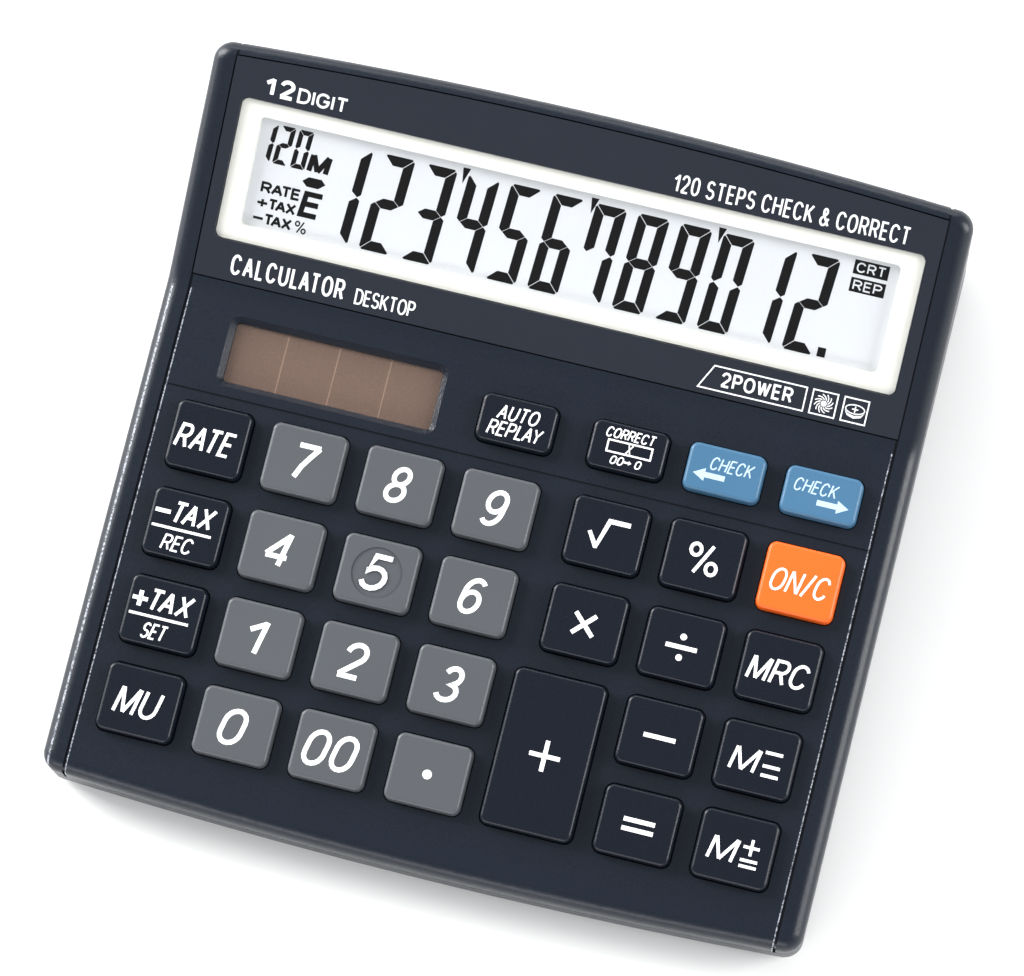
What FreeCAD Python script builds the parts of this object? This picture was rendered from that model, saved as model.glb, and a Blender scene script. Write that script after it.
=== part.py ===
"""Twelve-digit desk calculator with a tilted display, solar cell and button cell.

Millimetres and degrees.  X runs to the right, Y to the back, Z up; the rubber feet
stand on Z = 0 and the origin is below the middle of the case.

Two sloping frames carry the pieces.  Both start on the line where the keypad meets
the display (kink_y, kink_z): "keypad" leans by keypad_tilt and "display" by
display_tilt.  In a frame, "along" runs up the slope and "up" is square to the surface,
so up = 0 is the outside of the case.
"""
import FreeCAD, Part
import math
import os
import re

import Sketcher

Vector = FreeCAD.Vector

SIZES = {
    # casing
    "case_width": 130.0,
    "case_depth": 127.4,
    "end_bow": 2.0,
    "plan_corner": 3.2,
    "kink_y": 23.2,
    "keypad_tilt": 4.09,
    "display_tilt": 22.12,
    "kink_blend": 10.0,
    "top_round": 2.4,
    "base_round": 1.2,
    "case_wall": 2.0,
    "part_depth": 5.2,
    "part_gap": 0.25,
    # side rails and the fine grooves moulded in the top cover
    "rail_wide": 4.0,
    "groove_wide": 0.45,
    "groove_deep": 0.5,
    "line_wide": 0.4,
    "line_deep": 0.3,
    # rubber feet
    "foot_height": 1.2,
    "foot_radius": 4.5,
    "foot_seat": 0.6,
    "foot_play": 0.1,
    "foot_x": 55.0,
    "foot_y": 46.0,
    # case screws and the posts they pull together
    "post_radius": 2.2,
    "post_x": 50.0,
    "post_from_end": 5.7,
    "post_middle": 3.3,
    "shank_radius": 1.1,
    "shank_play": 0.02,
    "head_radius": 2.0,
    "head_high": 1.5,
    "head_play": 0.3,
    "sleeve_wall": 1.0,
    "screw_bite": 3.2,
    "screw_room": 0.3,
    "recess_wide": 0.6,
    "recess_long": 2.4,
    # keys
    "key_width": 13.1,
    "key_length": 11.7,
    "key_rise": 2.2,
    "key_corner": 1.5,
    "key_round": 0.6,
    "key_taper": 5.0,
    "key_wall": 1.1,
    "key_gap": 0.2,
    "key_play": 0.1,
    "key_travel": 1.5,
    "flange_wide": 0.5,
    "flange_thick": 0.8,
    "plunger_wide": 4.0,
    "plunger_drop": 0.4,
    "dish_radius": 4.3,
    "dish_deep": 0.25,
    # key layout, measured down the keypad from the kink
    "column_gap": 3.4,
    "group_gap": 2.55,
    "row_gap": 3.42,
    "first_row": 25.8,
    "strip_row": 11.0,
    "strip_length": 8.3,
    "plus_extra": 2.7,
    "strip_line": 18.0,
    # rubber mat, carbon pills and circuit board
    "mat_thick": 0.8,
    "dome_high": 0.7,
    "dome_base": 3.6,
    "dome_top": 2.4,
    "dome_play": 0.1,
    "pill_radius": 1.6,
    "pill_thick": 0.4,
    "board_thick": 1.6,
    "board_side": 3.4,
    "board_back": 1.5,
    "board_front": 82.5,
    "board_post": 1.6,
    "board_play": 0.5,
    "board_screw": 0.8,
    "board_head": 1.5,
    "board_head_high": 1.0,
    "board_clear": 0.34,
    "front_screw_x": 22.0,
    "back_screw_x": 40.0,
    "strip_screw_left": 10.7,
    "strip_screw_right": 43.0,
    "back_screw": 0.9,
    "chip_radius": 6.0,
    "chip_top": 3.6,
    "chip_high": 1.8,
    "chip_along": 40.0,
    "can_radius": 2.5,
    "can_long": 8.0,
    # display panel, window, white frame and glass
    "panel_thick": 0.8,
    "panel_bed": 0.05,
    "panel_gap": 0.25,
    "panel_start": 1.1,
    "panel_edge": 2.6,
    "border_side": 3.65,
    "border_end": 2.7,
    "window_middle": 20.2,
    "window_corner": 1.2,
    "window_gap": 0.1,
    "view_width": 109.7,
    "view_length": 18.6,
    "view_middle": 20.3,
    "view_corner": 0.8,
    "view_deep": 2.3,
    "frame_lip": 1.5,
    "frame_lip_long": 0.8,
    "glass_lap": 1.7,
    "glass_thick": 2.0,
    "glass_play": 0.1,
    "reflector_thick": 0.3,
    "ribbon_width": 56.0,
    "ribbon_thick": 0.25,
    "ribbon_land": 2.4,
    # solar cell
    "solar_x": -33.55,
    "solar_along": 10.1,
    "solar_width": 36.0,
    "solar_length": 10.3,
    "solar_corner": 0.8,
    "solar_deep": 1.3,
    "solar_slope": 36.0,
    "solar_pane": 0.6,
    "cell_thick": 1.0,
    "cell_border": 1.0,
    "cell_rib": 0.9,
    "lead_radius": 0.5,
    # battery well and its sliding door
    "battery_x": 30.0,
    "battery_y": 45.0,
    "battery_radius": 5.8,
    "battery_thick": 5.4,
    "well_play": 0.5,
    "well_wall": 1.4,
    "contact_thick": 0.3,
    "contact_wide": 3.0,
    "door_width": 20.0,
    "door_thick": 1.5,
    "door_side_gap": 0.2,
    "door_top_gap": 0.15,
    "door_front": 11.0,
    "tongue_wide": 1.2,
    "tongue_thick": 0.7,
    "house_wall": 1.8,
    "grip_long": 12.0,
    "grip_wide": 0.8,
    "grip_deep": 0.4,
    "grip_start": 4.8,
    # wires from the battery to the board
    "wire_step": 1.0,
    "wire_bend": 4.0,
    "wire_pads": 6.0,
    "wire_sag": 0.3,
    "wire_gap": 0.05,
}

# how far a cutting tool runs past the face it starts from
REACH = "1"
BOARD_TOP = ("(case_wall + key_play + flange_thick + plunger_drop + key_travel + dome_play"
             " + dome_high + mat_thick)")
BOARD_LOW = f"({BOARD_TOP} + board_thick)"
KINK_Z = (f"(foot_height + case_wall + board_clear + ({BOARD_LOW} + board_head_high) * cos(keypad_tilt)"
          " + board_front * sin(keypad_tilt))")
SCREW_GRIP = f"({BOARD_LOW} + board_play + sleeve_wall - part_depth)"
COLUMN_PITCH = "(key_width + column_gap)"
ROW_PITCH = "(key_length + row_gap)"
BOW_RADIUS = "(((case_width / 2)^2 + end_bow^2) / (2 * end_bow))"
WINDOW_WIDTH = "(view_width + 2 * border_side)"
WINDOW_LENGTH = "(view_length + 2 * border_end)"
GLASS_WIDTH = "(view_width + 2 * glass_lap)"
GLASS_LENGTH = "(view_length + 2 * glass_lap)"
GROOVE_X = "(case_width / 2 - rail_wide - groove_wide / 2)"
GROOVE_DROP = f"(end_bow * ({GROOVE_X} * 2 / case_width)^2)"
FLOOR = "(foot_height + case_wall)"
WELL = "(2 * (battery_radius + well_play))"
WELL_OUT = f"({WELL} + 2 * well_wall)"
DOOR_CEILING = "(foot_height + door_thick + door_top_gap)"
WELL_TOP = f"({DOOR_CEILING} + battery_thick + 3 * contact_thick)"
DOOR_BACK = "(case_depth / 2 + 1)"
FOOT_PLACES = [(f"{a}foot_x", f"{b}foot_y") for a in ("-", "") for b in ("-", "")]

doc = FreeCAD.newDocument("desk_calculator")
sheet = doc.addObject("Spreadsheet::Sheet", "sizes")
for line, (word, size) in enumerate(SIZES.items(), start=1):
    sheet.set(f"A{line}", word)
    sheet.set(f"B{line}", str(size))
    sheet.setAlias(f"B{line}", word)
doc.recompute()

nodes = []


def link(formula):
    """The formula with each of the sheet's words written as FreeCAD looks it up."""
    return re.sub(r"[a-z][a-z_]*", lambda m: f"sizes.{m[0]}" if m[0] in SIZES else m[0], formula)


def value(formula):
    """What the formula comes to now."""
    return float(sheet.evalExpression(link(formula)))


def new(kind, name, **formulas):
    """A document object whose named properties follow their formulas."""
    thing = doc.addObject(kind, name)
    for prop, formula in formulas.items():
        thing.setExpression(prop, link(formula))
    return thing


def seat(thing, frame="desk", x="0", along="0", up="0"):
    """Set the object at a place in the desk, keypad or display frame."""
    y, z, tilt = along, up, "0"
    if frame != "desk":
        tilt = f"{frame}_tilt"
        y = f"kink_y + ({along}) * cos({tilt}) - ({up}) * sin({tilt})"
        z = f"{KINK_Z} + ({along}) * sin({tilt}) + ({up}) * cos({tilt})"
    turn = f"rotation(vector(1; 0; 0); {tilt})"
    thing.setExpression("Placement", link(f"placement(vector({x}; {y}; {z}); {turn})"))
    return thing


def box(name, wide, long, high, frame="desk", x="0", along="0", up="0"):
    """A block centred on x and along, standing on up."""
    block = new("Part::Box", name, Length=wide, Width=long, Height=high)
    return seat(block, frame, f"({x}) - ({wide}) / 2", f"({along}) - ({long}) / 2", up)


def cylinder(name, radius, high, frame="desk", x="0", along="0", up="0"):
    """A round bar square to its frame, standing on up."""
    return seat(new("Part::Cylinder", name, Radius=radius, Height=high), frame, x, along, up)


def fuse(name, *things):
    """One solid from things that overlap."""
    joined = doc.addObject("Part::MultiFuse", name)
    joined.Shapes = list(things)
    return joined


def group(name, *things):
    """Separate solids kept together."""
    joined = doc.addObject("Part::Compound", name)
    joined.Links = list(things)
    return joined


def cut(name, base, *tools):
    """The base with the tools taken away."""
    rest = doc.addObject("Part::Cut", name)
    rest.Base = base
    rest.Tool = tools[0] if len(tools) == 1 else fuse(f"{name}_tools", *tools)
    return rest


def common(name, first, second):
    """What the two things share."""
    shared = doc.addObject("Part::MultiCommon", name)
    shared.Shapes = [first, second]
    return shared


def node(label, thing):
    """Name the finished sub-part; its label is its file's name."""
    thing.Label = label
    nodes.append(thing)
    return thing


def rule(sketch, kind, *where, formula=None):
    """Add a constraint to the sketch, driven by the formula if there is one."""
    if formula is None:
        sketch.addConstraint(Sketcher.Constraint(kind, *where))
        return
    index = sketch.addConstraint(Sketcher.Constraint(kind, *where, value(formula)))
    sketch.setExpression(f"Constraints[{index}]", link(formula))


def arc(middle_x, middle_y, radius, start, end):
    """An arc drawn anticlockwise between two angles in degrees."""
    circle = Part.Circle(Vector(middle_x, middle_y, 0), Vector(0, 0, 1), radius)
    return Part.ArcOfCircle(circle, math.radians(start), math.radians(end))


def draw_rounded_rectangle(sketch, wide, long, corner):
    """A rectangle with round corners, centred on the sketch's origin."""
    half_x, half_y, round_off = value(wide) / 2, value(long) / 2, value(corner)
    in_x, in_y = half_x - round_off, half_y - round_off
    sketch.addGeometry([
        Part.LineSegment(Vector(-in_x, -half_y, 0), Vector(in_x, -half_y, 0)),
        arc(in_x, -in_y, round_off, -90, 0),
        Part.LineSegment(Vector(half_x, -in_y, 0), Vector(half_x, in_y, 0)),
        arc(in_x, in_y, round_off, 0, 90),
        Part.LineSegment(Vector(in_x, half_y, 0), Vector(-in_x, half_y, 0)),
        arc(-in_x, in_y, round_off, 90, 180),
        Part.LineSegment(Vector(-half_x, in_y, 0), Vector(-half_x, -in_y, 0)),
        arc(-in_x, -in_y, round_off, 180, 270),
    ])
    for side in range(8):
        rule(sketch, "Tangent", side, 2, (side + 1) % 8, 1)
    for side in (0, 4):
        rule(sketch, "Horizontal", side)
        rule(sketch, "Vertical", side + 2)
    for bend in (3, 5, 7):
        rule(sketch, "Equal", 1, bend)
    rule(sketch, "Radius", 1, formula=corner)
    rule(sketch, "DistanceX", 6, 1, 2, 2, formula=wide)
    rule(sketch, "DistanceY", 0, 1, 4, 2, formula=long)
    rule(sketch, "Symmetric", 1, 3, 5, 3, -1, 1)


def slab(name, wide, long, corner, high, frame="desk", x="0", along="0", up="0", flare="0"):
    """A block with round corners that stands on up and may widen by the flare angle."""
    sketch = seat(doc.addObject("Sketcher::SketchObject", f"{name}_outline"), frame, x, along, up)
    draw_rounded_rectangle(sketch, wide, long, corner)
    block = new("Part::Extrusion", name, LengthFwd=high, TaperAngle=flare)
    block.Base = sketch
    block.DirMode = "Normal"
    block.Solid = True
    return block


def case_profile(name, half_depth, inset, base):
    """The case from its side: flat base, keypad slope, blended kink and display slope.

    The slopes lie inset below the outer surface, and the block is as wide as the case.
    """
    sketch = doc.addObject("Sketcher::SketchObject", f"{name}_outline")
    sketch.Placement.Rotation = FreeCAD.Rotation(Vector(0, 1, 0), Vector(0, 0, 1), Vector(1, 0, 0), "XYZ")
    front_top = f"{KINK_Z} - (kink_y + {half_depth}) * tan(keypad_tilt) - ({inset}) / cos(keypad_tilt)"
    back_top = f"{KINK_Z} + ({half_depth} - kink_y) * tan(display_tilt) - ({inset}) / cos(display_tilt)"
    blend = f"kink_blend + {inset}"
    depth, low = value(half_depth), value(base)
    radius, shallow, steep = value(blend), value("keypad_tilt"), value("display_tilt")
    shift = value(f"({inset}) * (1 / cos(display_tilt) - 1 / cos(keypad_tilt))"
                  " / (tan(display_tilt) - tan(keypad_tilt))")
    kink = Vector(value("kink_y") + shift,
                  value(f"{KINK_Z} + ({shift}) * tan(keypad_tilt) - ({inset}) / cos(keypad_tilt)"), 0)
    reach = radius * math.tan(math.radians(steep - shallow) / 2)
    lean = [Vector(math.cos(math.radians(a)), math.sin(math.radians(a)), 0) for a in (shallow, steep)]
    start, end = kink - lean[0] * reach, kink + lean[1] * reach
    middle = start + Vector(-lean[0].y, lean[0].x, 0) * radius
    front, back = Vector(-depth, value(front_top), 0), Vector(depth, value(back_top), 0)
    sketch.addGeometry([
        Part.LineSegment(Vector(-depth, low, 0), Vector(depth, low, 0)),
        Part.LineSegment(Vector(depth, low, 0), back),
        Part.LineSegment(end, back),
        arc(middle.x, middle.y, radius, shallow - 90, steep - 90),
        Part.LineSegment(front, start),
        Part.LineSegment(front, Vector(-depth, low, 0)),
    ])
    for first, first_end, second, second_end in ((0, 2, 1, 1), (1, 2, 2, 2), (4, 1, 5, 1), (5, 2, 0, 1)):
        rule(sketch, "Coincident", first, first_end, second, second_end)
    rule(sketch, "Tangent", 2, 1, 3, 2)
    rule(sketch, "Tangent", 3, 1, 4, 2)
    rule(sketch, "Horizontal", 0)
    rule(sketch, "Vertical", 1)
    rule(sketch, "Vertical", 5)
    rule(sketch, "Radius", 3, formula=blend)
    rule(sketch, "DistanceX", -1, 1, 5, 1, formula=f"-({half_depth})")
    rule(sketch, "DistanceX", -1, 1, 1, 2, formula=half_depth)
    rule(sketch, "DistanceY", -1, 1, 0, 1, formula=base)
    rule(sketch, "DistanceY", -1, 1, 5, 1, formula=front_top)
    rule(sketch, "DistanceY", -1, 1, 1, 2, formula=back_top)
    for slope, tilt in ((4, "keypad_tilt"), (2, "display_tilt")):
        index = sketch.addConstraint(Sketcher.Constraint("Angle", slope, math.radians(value(tilt))))
        sketch.setExpression(f"Constraints[{index}]", link(f"{tilt} * 1 deg"))
    block = new("Part::Extrusion", name, LengthFwd="case_width")
    block.Base = sketch
    block.DirMode = "Normal"
    block.Symmetric = True
    block.Solid = True
    return block


def case_plan(name, inset):
    """The case from above, inset all round: straight sides, bowed ends and round corners."""
    sketch = doc.addObject("Sketcher::SketchObject", f"{name}_outline")
    side, bow, corner = f"case_width / 2 - {inset}", f"{BOW_RADIUS} - {inset}", f"plan_corner - {inset}"
    centre = f"case_depth / 2 - {BOW_RADIUS}"
    half_x, bow_r, corner_r, centre_y = value(side), value(bow), value(corner), value(centre)
    corner_x = half_x - corner_r
    corner_y = centre_y + math.sqrt((bow_r - corner_r) ** 2 - corner_x ** 2)
    sweep = math.degrees(math.atan2(corner_y - centre_y, corner_x))
    sketch.addGeometry([
        Part.LineSegment(Vector(half_x, -corner_y, 0), Vector(half_x, corner_y, 0)),
        arc(corner_x, corner_y, corner_r, 0, sweep),
        arc(0, centre_y, bow_r, sweep, 180 - sweep),
        arc(-corner_x, corner_y, corner_r, 180 - sweep, 180),
        Part.LineSegment(Vector(-half_x, corner_y, 0), Vector(-half_x, -corner_y, 0)),
        arc(-corner_x, -corner_y, corner_r, 180, 180 + sweep),
        arc(0, -centre_y, bow_r, 180 + sweep, 360 - sweep),
        arc(corner_x, -corner_y, corner_r, 360 - sweep, 360),
    ])
    for stretch in range(8):
        rule(sketch, "Tangent", stretch, 2, (stretch + 1) % 8, 1)
    for line, sign in ((0, ""), (4, "-")):
        rule(sketch, "Vertical", line)
        rule(sketch, "DistanceX", -1, 1, line, 1, formula=f"{sign}({side})")
    for end, sign in ((2, ""), (6, "-")):
        rule(sketch, "PointOnObject", end, 3, -2)
        rule(sketch, "DistanceY", -1, 1, end, 3, formula=f"{sign}({centre})")
        rule(sketch, "Radius", end, formula=bow)
    for bend in (3, 5, 7):
        rule(sketch, "Equal", 1, bend)
    rule(sketch, "Radius", 1, formula=corner)
    prism = new("Part::Extrusion", name, LengthFwd=f"{KINK_Z} + case_depth")
    prism.Base = sketch
    prism.DirMode = "Normal"
    prism.Solid = True
    return prism


def rim_edges(shape):
    """Numbers of the case's outer rim edges: those round the top and those round the base."""
    low = value("foot_height")
    top, base = [], []
    for number, edge in enumerate(shape.Edges, start=1):
        lean = edge.tangentAt((edge.FirstParameter + edge.LastParameter) / 2)
        box_of_edge = edge.BoundBox
        across = abs(lean.x) > 0.99 and box_of_edge.YLength < 0.01
        if abs(lean.z) > 0.9 or across:
            continue
        (base if box_of_edge.ZMax < low + 0.01 else top).append(number)
    return top, base


def build_case_block():
    """The whole case as one rounded block, before it is hollowed and parted."""
    block = common("case_sharp", case_profile("case_side", "(case_depth / 2 + 1)", "0", "foot_height"),
                   case_plan("case_top", "0"))
    doc.recompute()
    top, base = rim_edges(block.Shape)
    rounded = doc.addObject("Part::Fillet", "case_block")
    rounded.Base = block
    rounded.Edges = ([(number, value("top_round"), value("top_round")) for number in top]
                     + [(number, value("base_round"), value("base_round")) for number in base])
    return rounded


def keypad_half_space(name, top, above):
    """A big block that fills everything above, or below, a level of the keypad frame."""
    size = "(case_width + case_depth)"
    return box(name, size, size, size, "keypad", "0", "0", top if above else f"{top} - {size}")


# the six case screws stand in pairs at the front, behind the kink and at the back
POST_PLACES = [(f"{sign}post_x", y) for y in ("-(case_depth / 2 - post_from_end)", "(kink_y + post_middle)",
                                              "(case_depth / 2 - post_from_end)") for sign in ("-", "")]


def parting_height(y):
    """Where the sloping joint between the covers is, above the desk."""
    return f"({KINK_Z} + ({y} - kink_y) * tan(keypad_tilt) - part_depth / cos(keypad_tilt))"


def bars(name, radius, bottom, top):
    """Upright bars at the six case screws, between two formulas of their place y."""
    return [cylinder(f"{name}_{i}", radius, f"{top(y)} - {bottom(y)}", "desk", x, y, bottom(y))
            for i, (x, y) in enumerate(POST_PLACES)]


# the board screws: x, and the distance down the keypad
STRIP_SCREW = "-(strip_row + strip_length / 2 + first_row - key_length / 2) / 2"
BOARD_PLACES = [
    ("-front_screw_x", "-(board_front - board_post - board_play)"),
    ("front_screw_x", "-(board_front - board_post - board_play)"),
    (f"{COLUMN_PITCH} / 2", f"-(first_row + {ROW_PITCH} / 2)"),
    ("-strip_screw_left", STRIP_SCREW),
    ("strip_screw_right", STRIP_SCREW),
    ("-back_screw_x", "-back_screw"),
    ("back_screw_x", "-back_screw"),
]


def board_bars(name, radius, bottom, high):
    """Bars square to the keypad at the board screws."""
    return [cylinder(f"{name}_{i}", radius, high, "keypad", x, along, bottom)
            for i, (x, along) in enumerate(BOARD_PLACES)]


def column_x(column):
    """Middle of a key column; the right-hand group stands off by the group gap."""
    return f"({column - 3} * {COLUMN_PITCH} {'+' if column > 3 else '-'} group_gap / 2)"


def row_along(row):
    """Middle of a row of the main key field."""
    return f"-(first_row + {row} * {ROW_PITCH})"


# every key: its name, column and row; row None is the short strip beside the solar cell
KEYS = [
    ("rate", 0, 0), ("tax_minus", 0, 1), ("tax_plus", 0, 2), ("mark_up", 0, 3),
    ("7", 1, 0), ("8", 2, 0), ("9", 3, 0),
    ("4", 1, 1), ("5", 2, 1), ("6", 3, 1),
    ("1", 1, 2), ("2", 2, 2), ("3", 3, 2),
    ("0", 1, 3), ("00", 2, 3), ("point", 3, 3),
    ("root", 4, 0), ("multiply", 4, 1), ("plus", 4, 2.5),
    ("percent", 5, 0), ("divide", 5, 1), ("minus", 5, 2), ("equals", 5, 3),
    ("on_clear", 6, 0), ("memory_recall", 6, 1), ("memory_minus", 6, 2), ("memory_plus", 6, 3),
    ("replay", 3, None), ("correct", 4, None), ("check_back", 5, None), ("check_forward", 6, None),
]


def key_place(name, column, row):
    """x, along, width and length of a key."""
    x, wide = column_x(column), "key_width"
    if row is None:
        return x, "-strip_row", wide, "strip_length"
    if name == "plus":
        x = f"({x} - plus_extra / 2)"
        return x, row_along(row), "(key_width + plus_extra)", f"(key_length + {ROW_PITCH})"
    return x, row_along(row), wide, "key_length"


def sketch_on(body, name, level):
    """A sketch parallel to the body's own XY plane at a level."""
    plane = next(f for f in body.Origin.OriginFeatures if f.Role == "XY_Plane")
    sketch = body.newObject("Sketcher::SketchObject", name)
    sketch.AttachmentSupport = (plane, "")
    sketch.MapMode = "FlatFace"
    sketch.setExpression("AttachmentOffset.Base.z", link(level))
    return sketch


def feature(body, kind, name, sketch, length, taper=None):
    """A pad or pocket of the sketch; pads and pockets both run upwards here."""
    made = body.newObject(f"PartDesign::{kind}", name)
    made.Profile = sketch
    made.setExpression("Length", link(length))
    if kind == "Pocket":
        made.Reversed = True
    if taper:
        made.setExpression("TaperAngle", link(taper))
    return made


def build_key(name, column, row):
    """A moulded key cap: flange below the cover, straight skirt, tapered cap, hollow, plunger."""
    x, along, wide, long = key_place(name, column, row)
    body = seat(doc.addObject("PartDesign::Body", f"key_{name}"), "keypad", x, along)
    ledge = "(case_wall + key_play)"
    foot = f"({ledge} + flange_thick)"
    flange = sketch_on(body, f"flange_{name}", f"-{foot}")
    draw_rounded_rectangle(flange, f"{wide} + 2 * flange_wide", f"{long} + 2 * flange_wide",
                           "key_corner + flange_wide")
    feature(body, "Pad", f"flange_pad_{name}", flange, "flange_thick")
    skirt = sketch_on(body, f"skirt_{name}", f"-{ledge}")
    draw_rounded_rectangle(skirt, wide, long, "key_corner")
    feature(body, "Pad", f"skirt_pad_{name}", skirt, ledge)
    cap = sketch_on(body, f"cap_{name}", "0")
    draw_rounded_rectangle(cap, wide, long, "key_corner")
    cap_pad = feature(body, "Pad", f"cap_pad_{name}", cap, "key_rise", "-key_taper")
    doc.recompute([body, flange, skirt, cap, *body.Group])
    top = value("key_rise")
    edges = [f"Edge{i}" for i, edge in enumerate(cap_pad.Shape.Edges, start=1)
             if edge.BoundBox.ZMin > top - 0.01]
    rim = body.newObject("PartDesign::Fillet", f"rim_{name}")
    rim.Base = (cap_pad, edges)
    rim.setExpression("Radius", link("key_round"))
    hollow = sketch_on(body, f"hollow_{name}", f"-{foot}")
    draw_rounded_rectangle(hollow, f"{wide} - 2 * key_wall", f"{long} - 2 * key_wall", "key_corner / 2")
    feature(body, "Pocket", f"hollow_pocket_{name}", hollow, f"{foot} + key_rise - key_wall")
    plunger = sketch_on(body, f"plunger_{name}", f"-({foot} + plunger_drop)")
    draw_rounded_rectangle(plunger, "plunger_wide", "plunger_wide", "key_corner / 2")
    feature(body, "Pad", f"plunger_pad_{name}", plunger, f"{foot} + plunger_drop + key_rise - key_wall / 2")
    if name == "5":
        dish = sketch_on(body, "dish_outline", "key_rise - dish_deep")
        dish.addGeometry(Part.Circle(Vector(0, 0, 0), Vector(0, 0, 1), value("dish_radius")))
        rule(dish, "Coincident", 0, 3, -1, 1)
        rule(dish, "Radius", 0, formula="dish_radius")
        feature(body, "Pocket", "dish", dish, "dish_deep")
    node(f"key_{name}", body)


def key_holes():
    """The openings that the key caps rise through."""
    holes = []
    for name, column, row in KEYS:
        x, along, wide, long = key_place(name, column, row)
        holes.append(slab(f"hole_{name}", f"{wide} + 2 * key_gap", f"{long} + 2 * key_gap",
                          "key_corner + key_gap", f"case_wall + 2 * {REACH}", "keypad", x, along,
                          f"-(case_wall + {REACH})"))
    return holes


def display_bed(name, gap, thick, up):
    """The display panel's outline: bowed with the back of the case, square at its sides.

    The gap is taken off all round, so a positive gap gives the panel and 0 its bed.
    """
    wide = f"(case_width - 2 * (rail_wide + {gap}))"
    start = f"(panel_start + {gap})"
    sheet_block = box(f"{name}_block", wide, "case_depth", thick, "display", "0",
                      f"{start} + case_depth / 2", up)
    return common(name, sheet_block, case_plan(f"{name}_plan", f"(panel_edge + {gap})"))


def display_slab(name, grow, bottom, top):
    """A block with the window's outline, grown all round, between two levels."""
    return slab(name, f"{WINDOW_WIDTH} + 2 * {grow}", f"{WINDOW_LENGTH} + 2 * {grow}", "window_corner",
                f"({top}) - ({bottom})", "display", "0", "window_middle", bottom)


def view_slab(name, bottom, top):
    """A block with the outline of what is seen of the glass."""
    return slab(name, "view_width", "view_length", "view_corner", f"({top}) - ({bottom})",
                "display", "0", "view_middle", bottom)


def solar_slab(name, grow, bottom, top, flare="0"):
    """A block with the solar cell's outline, grown all round, between two levels."""
    return slab(name, f"solar_width + 2 * {grow}", f"solar_length + 2 * {grow}", "solar_corner",
                f"({top}) - ({bottom})", "keypad", "solar_x", "-solar_along", bottom, flare)


def build_top_cover(shell, posts):
    """The upper casing with its holes, bed, grooves, screw posts and board posts."""
    below = keypad_half_space("below_joint", "-part_depth", above=False)
    rib_low = "-(case_wall + cell_thick + solar_pane / 2)"
    ribs = cut("cell_ribs", solar_slab("rib_out", "(cell_border + cell_rib)", rib_low, "-case_wall / 2"),
               solar_slab("rib_in", "(cell_border + 2 * key_gap)", f"{rib_low} - {REACH}", "-case_wall"),
               solar_slab("rib_eye", "0", "-case_wall", "0"))
    board_posts = board_bars("board_post", "board_post", f"-{BOARD_TOP}", f"{BOARD_TOP} - case_wall / 2")
    solid = fuse("cover_solid", cut("cover_shell", fuse("shell_and_posts", shell, posts), below),
                 ribs, *board_posts)
    pilots = bars("pilot", "shank_radius + shank_play", lambda y: f"({parting_height(y)} - {REACH})",
                  lambda y: f"({parting_height(y)} + screw_bite + screw_room)")
    board_pilots = board_bars("board_pilot", "board_screw + shank_play", f"-({BOARD_TOP} + {REACH})",
                              f"{BOARD_TOP} + {REACH} - case_wall - key_play")
    grooves = [box(f"groove_slot_{i}", "groove_wide", "2 * case_depth", "2 * case_depth", x=x)
               for i, x in enumerate((GROOVE_X, f"-{GROOVE_X}"))]
    groove_floor = case_profile("groove_floor", f"(case_depth / 2 - {GROOVE_DROP} - groove_deep)",
                                "groove_deep", "0")
    strip_line = box("strip_line", f"2 * {GROOVE_X}", "line_wide", f"line_deep + {REACH}", "keypad",
                     "0", "-strip_line", "-line_deep")
    tools = key_holes() + pilots + board_pilots + [
        cut("grooves", fuse("groove_slots", *grooves), groove_floor),
        strip_line,
        display_bed("bed", "0", KINK_Z, "-(panel_thick + panel_bed)"),
        display_slab("display_hole", "window_gap", f"-(case_wall + {REACH})", "0"),
        solar_slab("solar_hole", "0", f"-(case_wall + {REACH})", "-solar_deep / 2"),
        solar_slab("solar_slope_cut", "0", "-solar_deep", "solar_pane", "solar_slope"),
    ]
    node("top_cover", cut("top_cover", solid, *tools))


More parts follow.
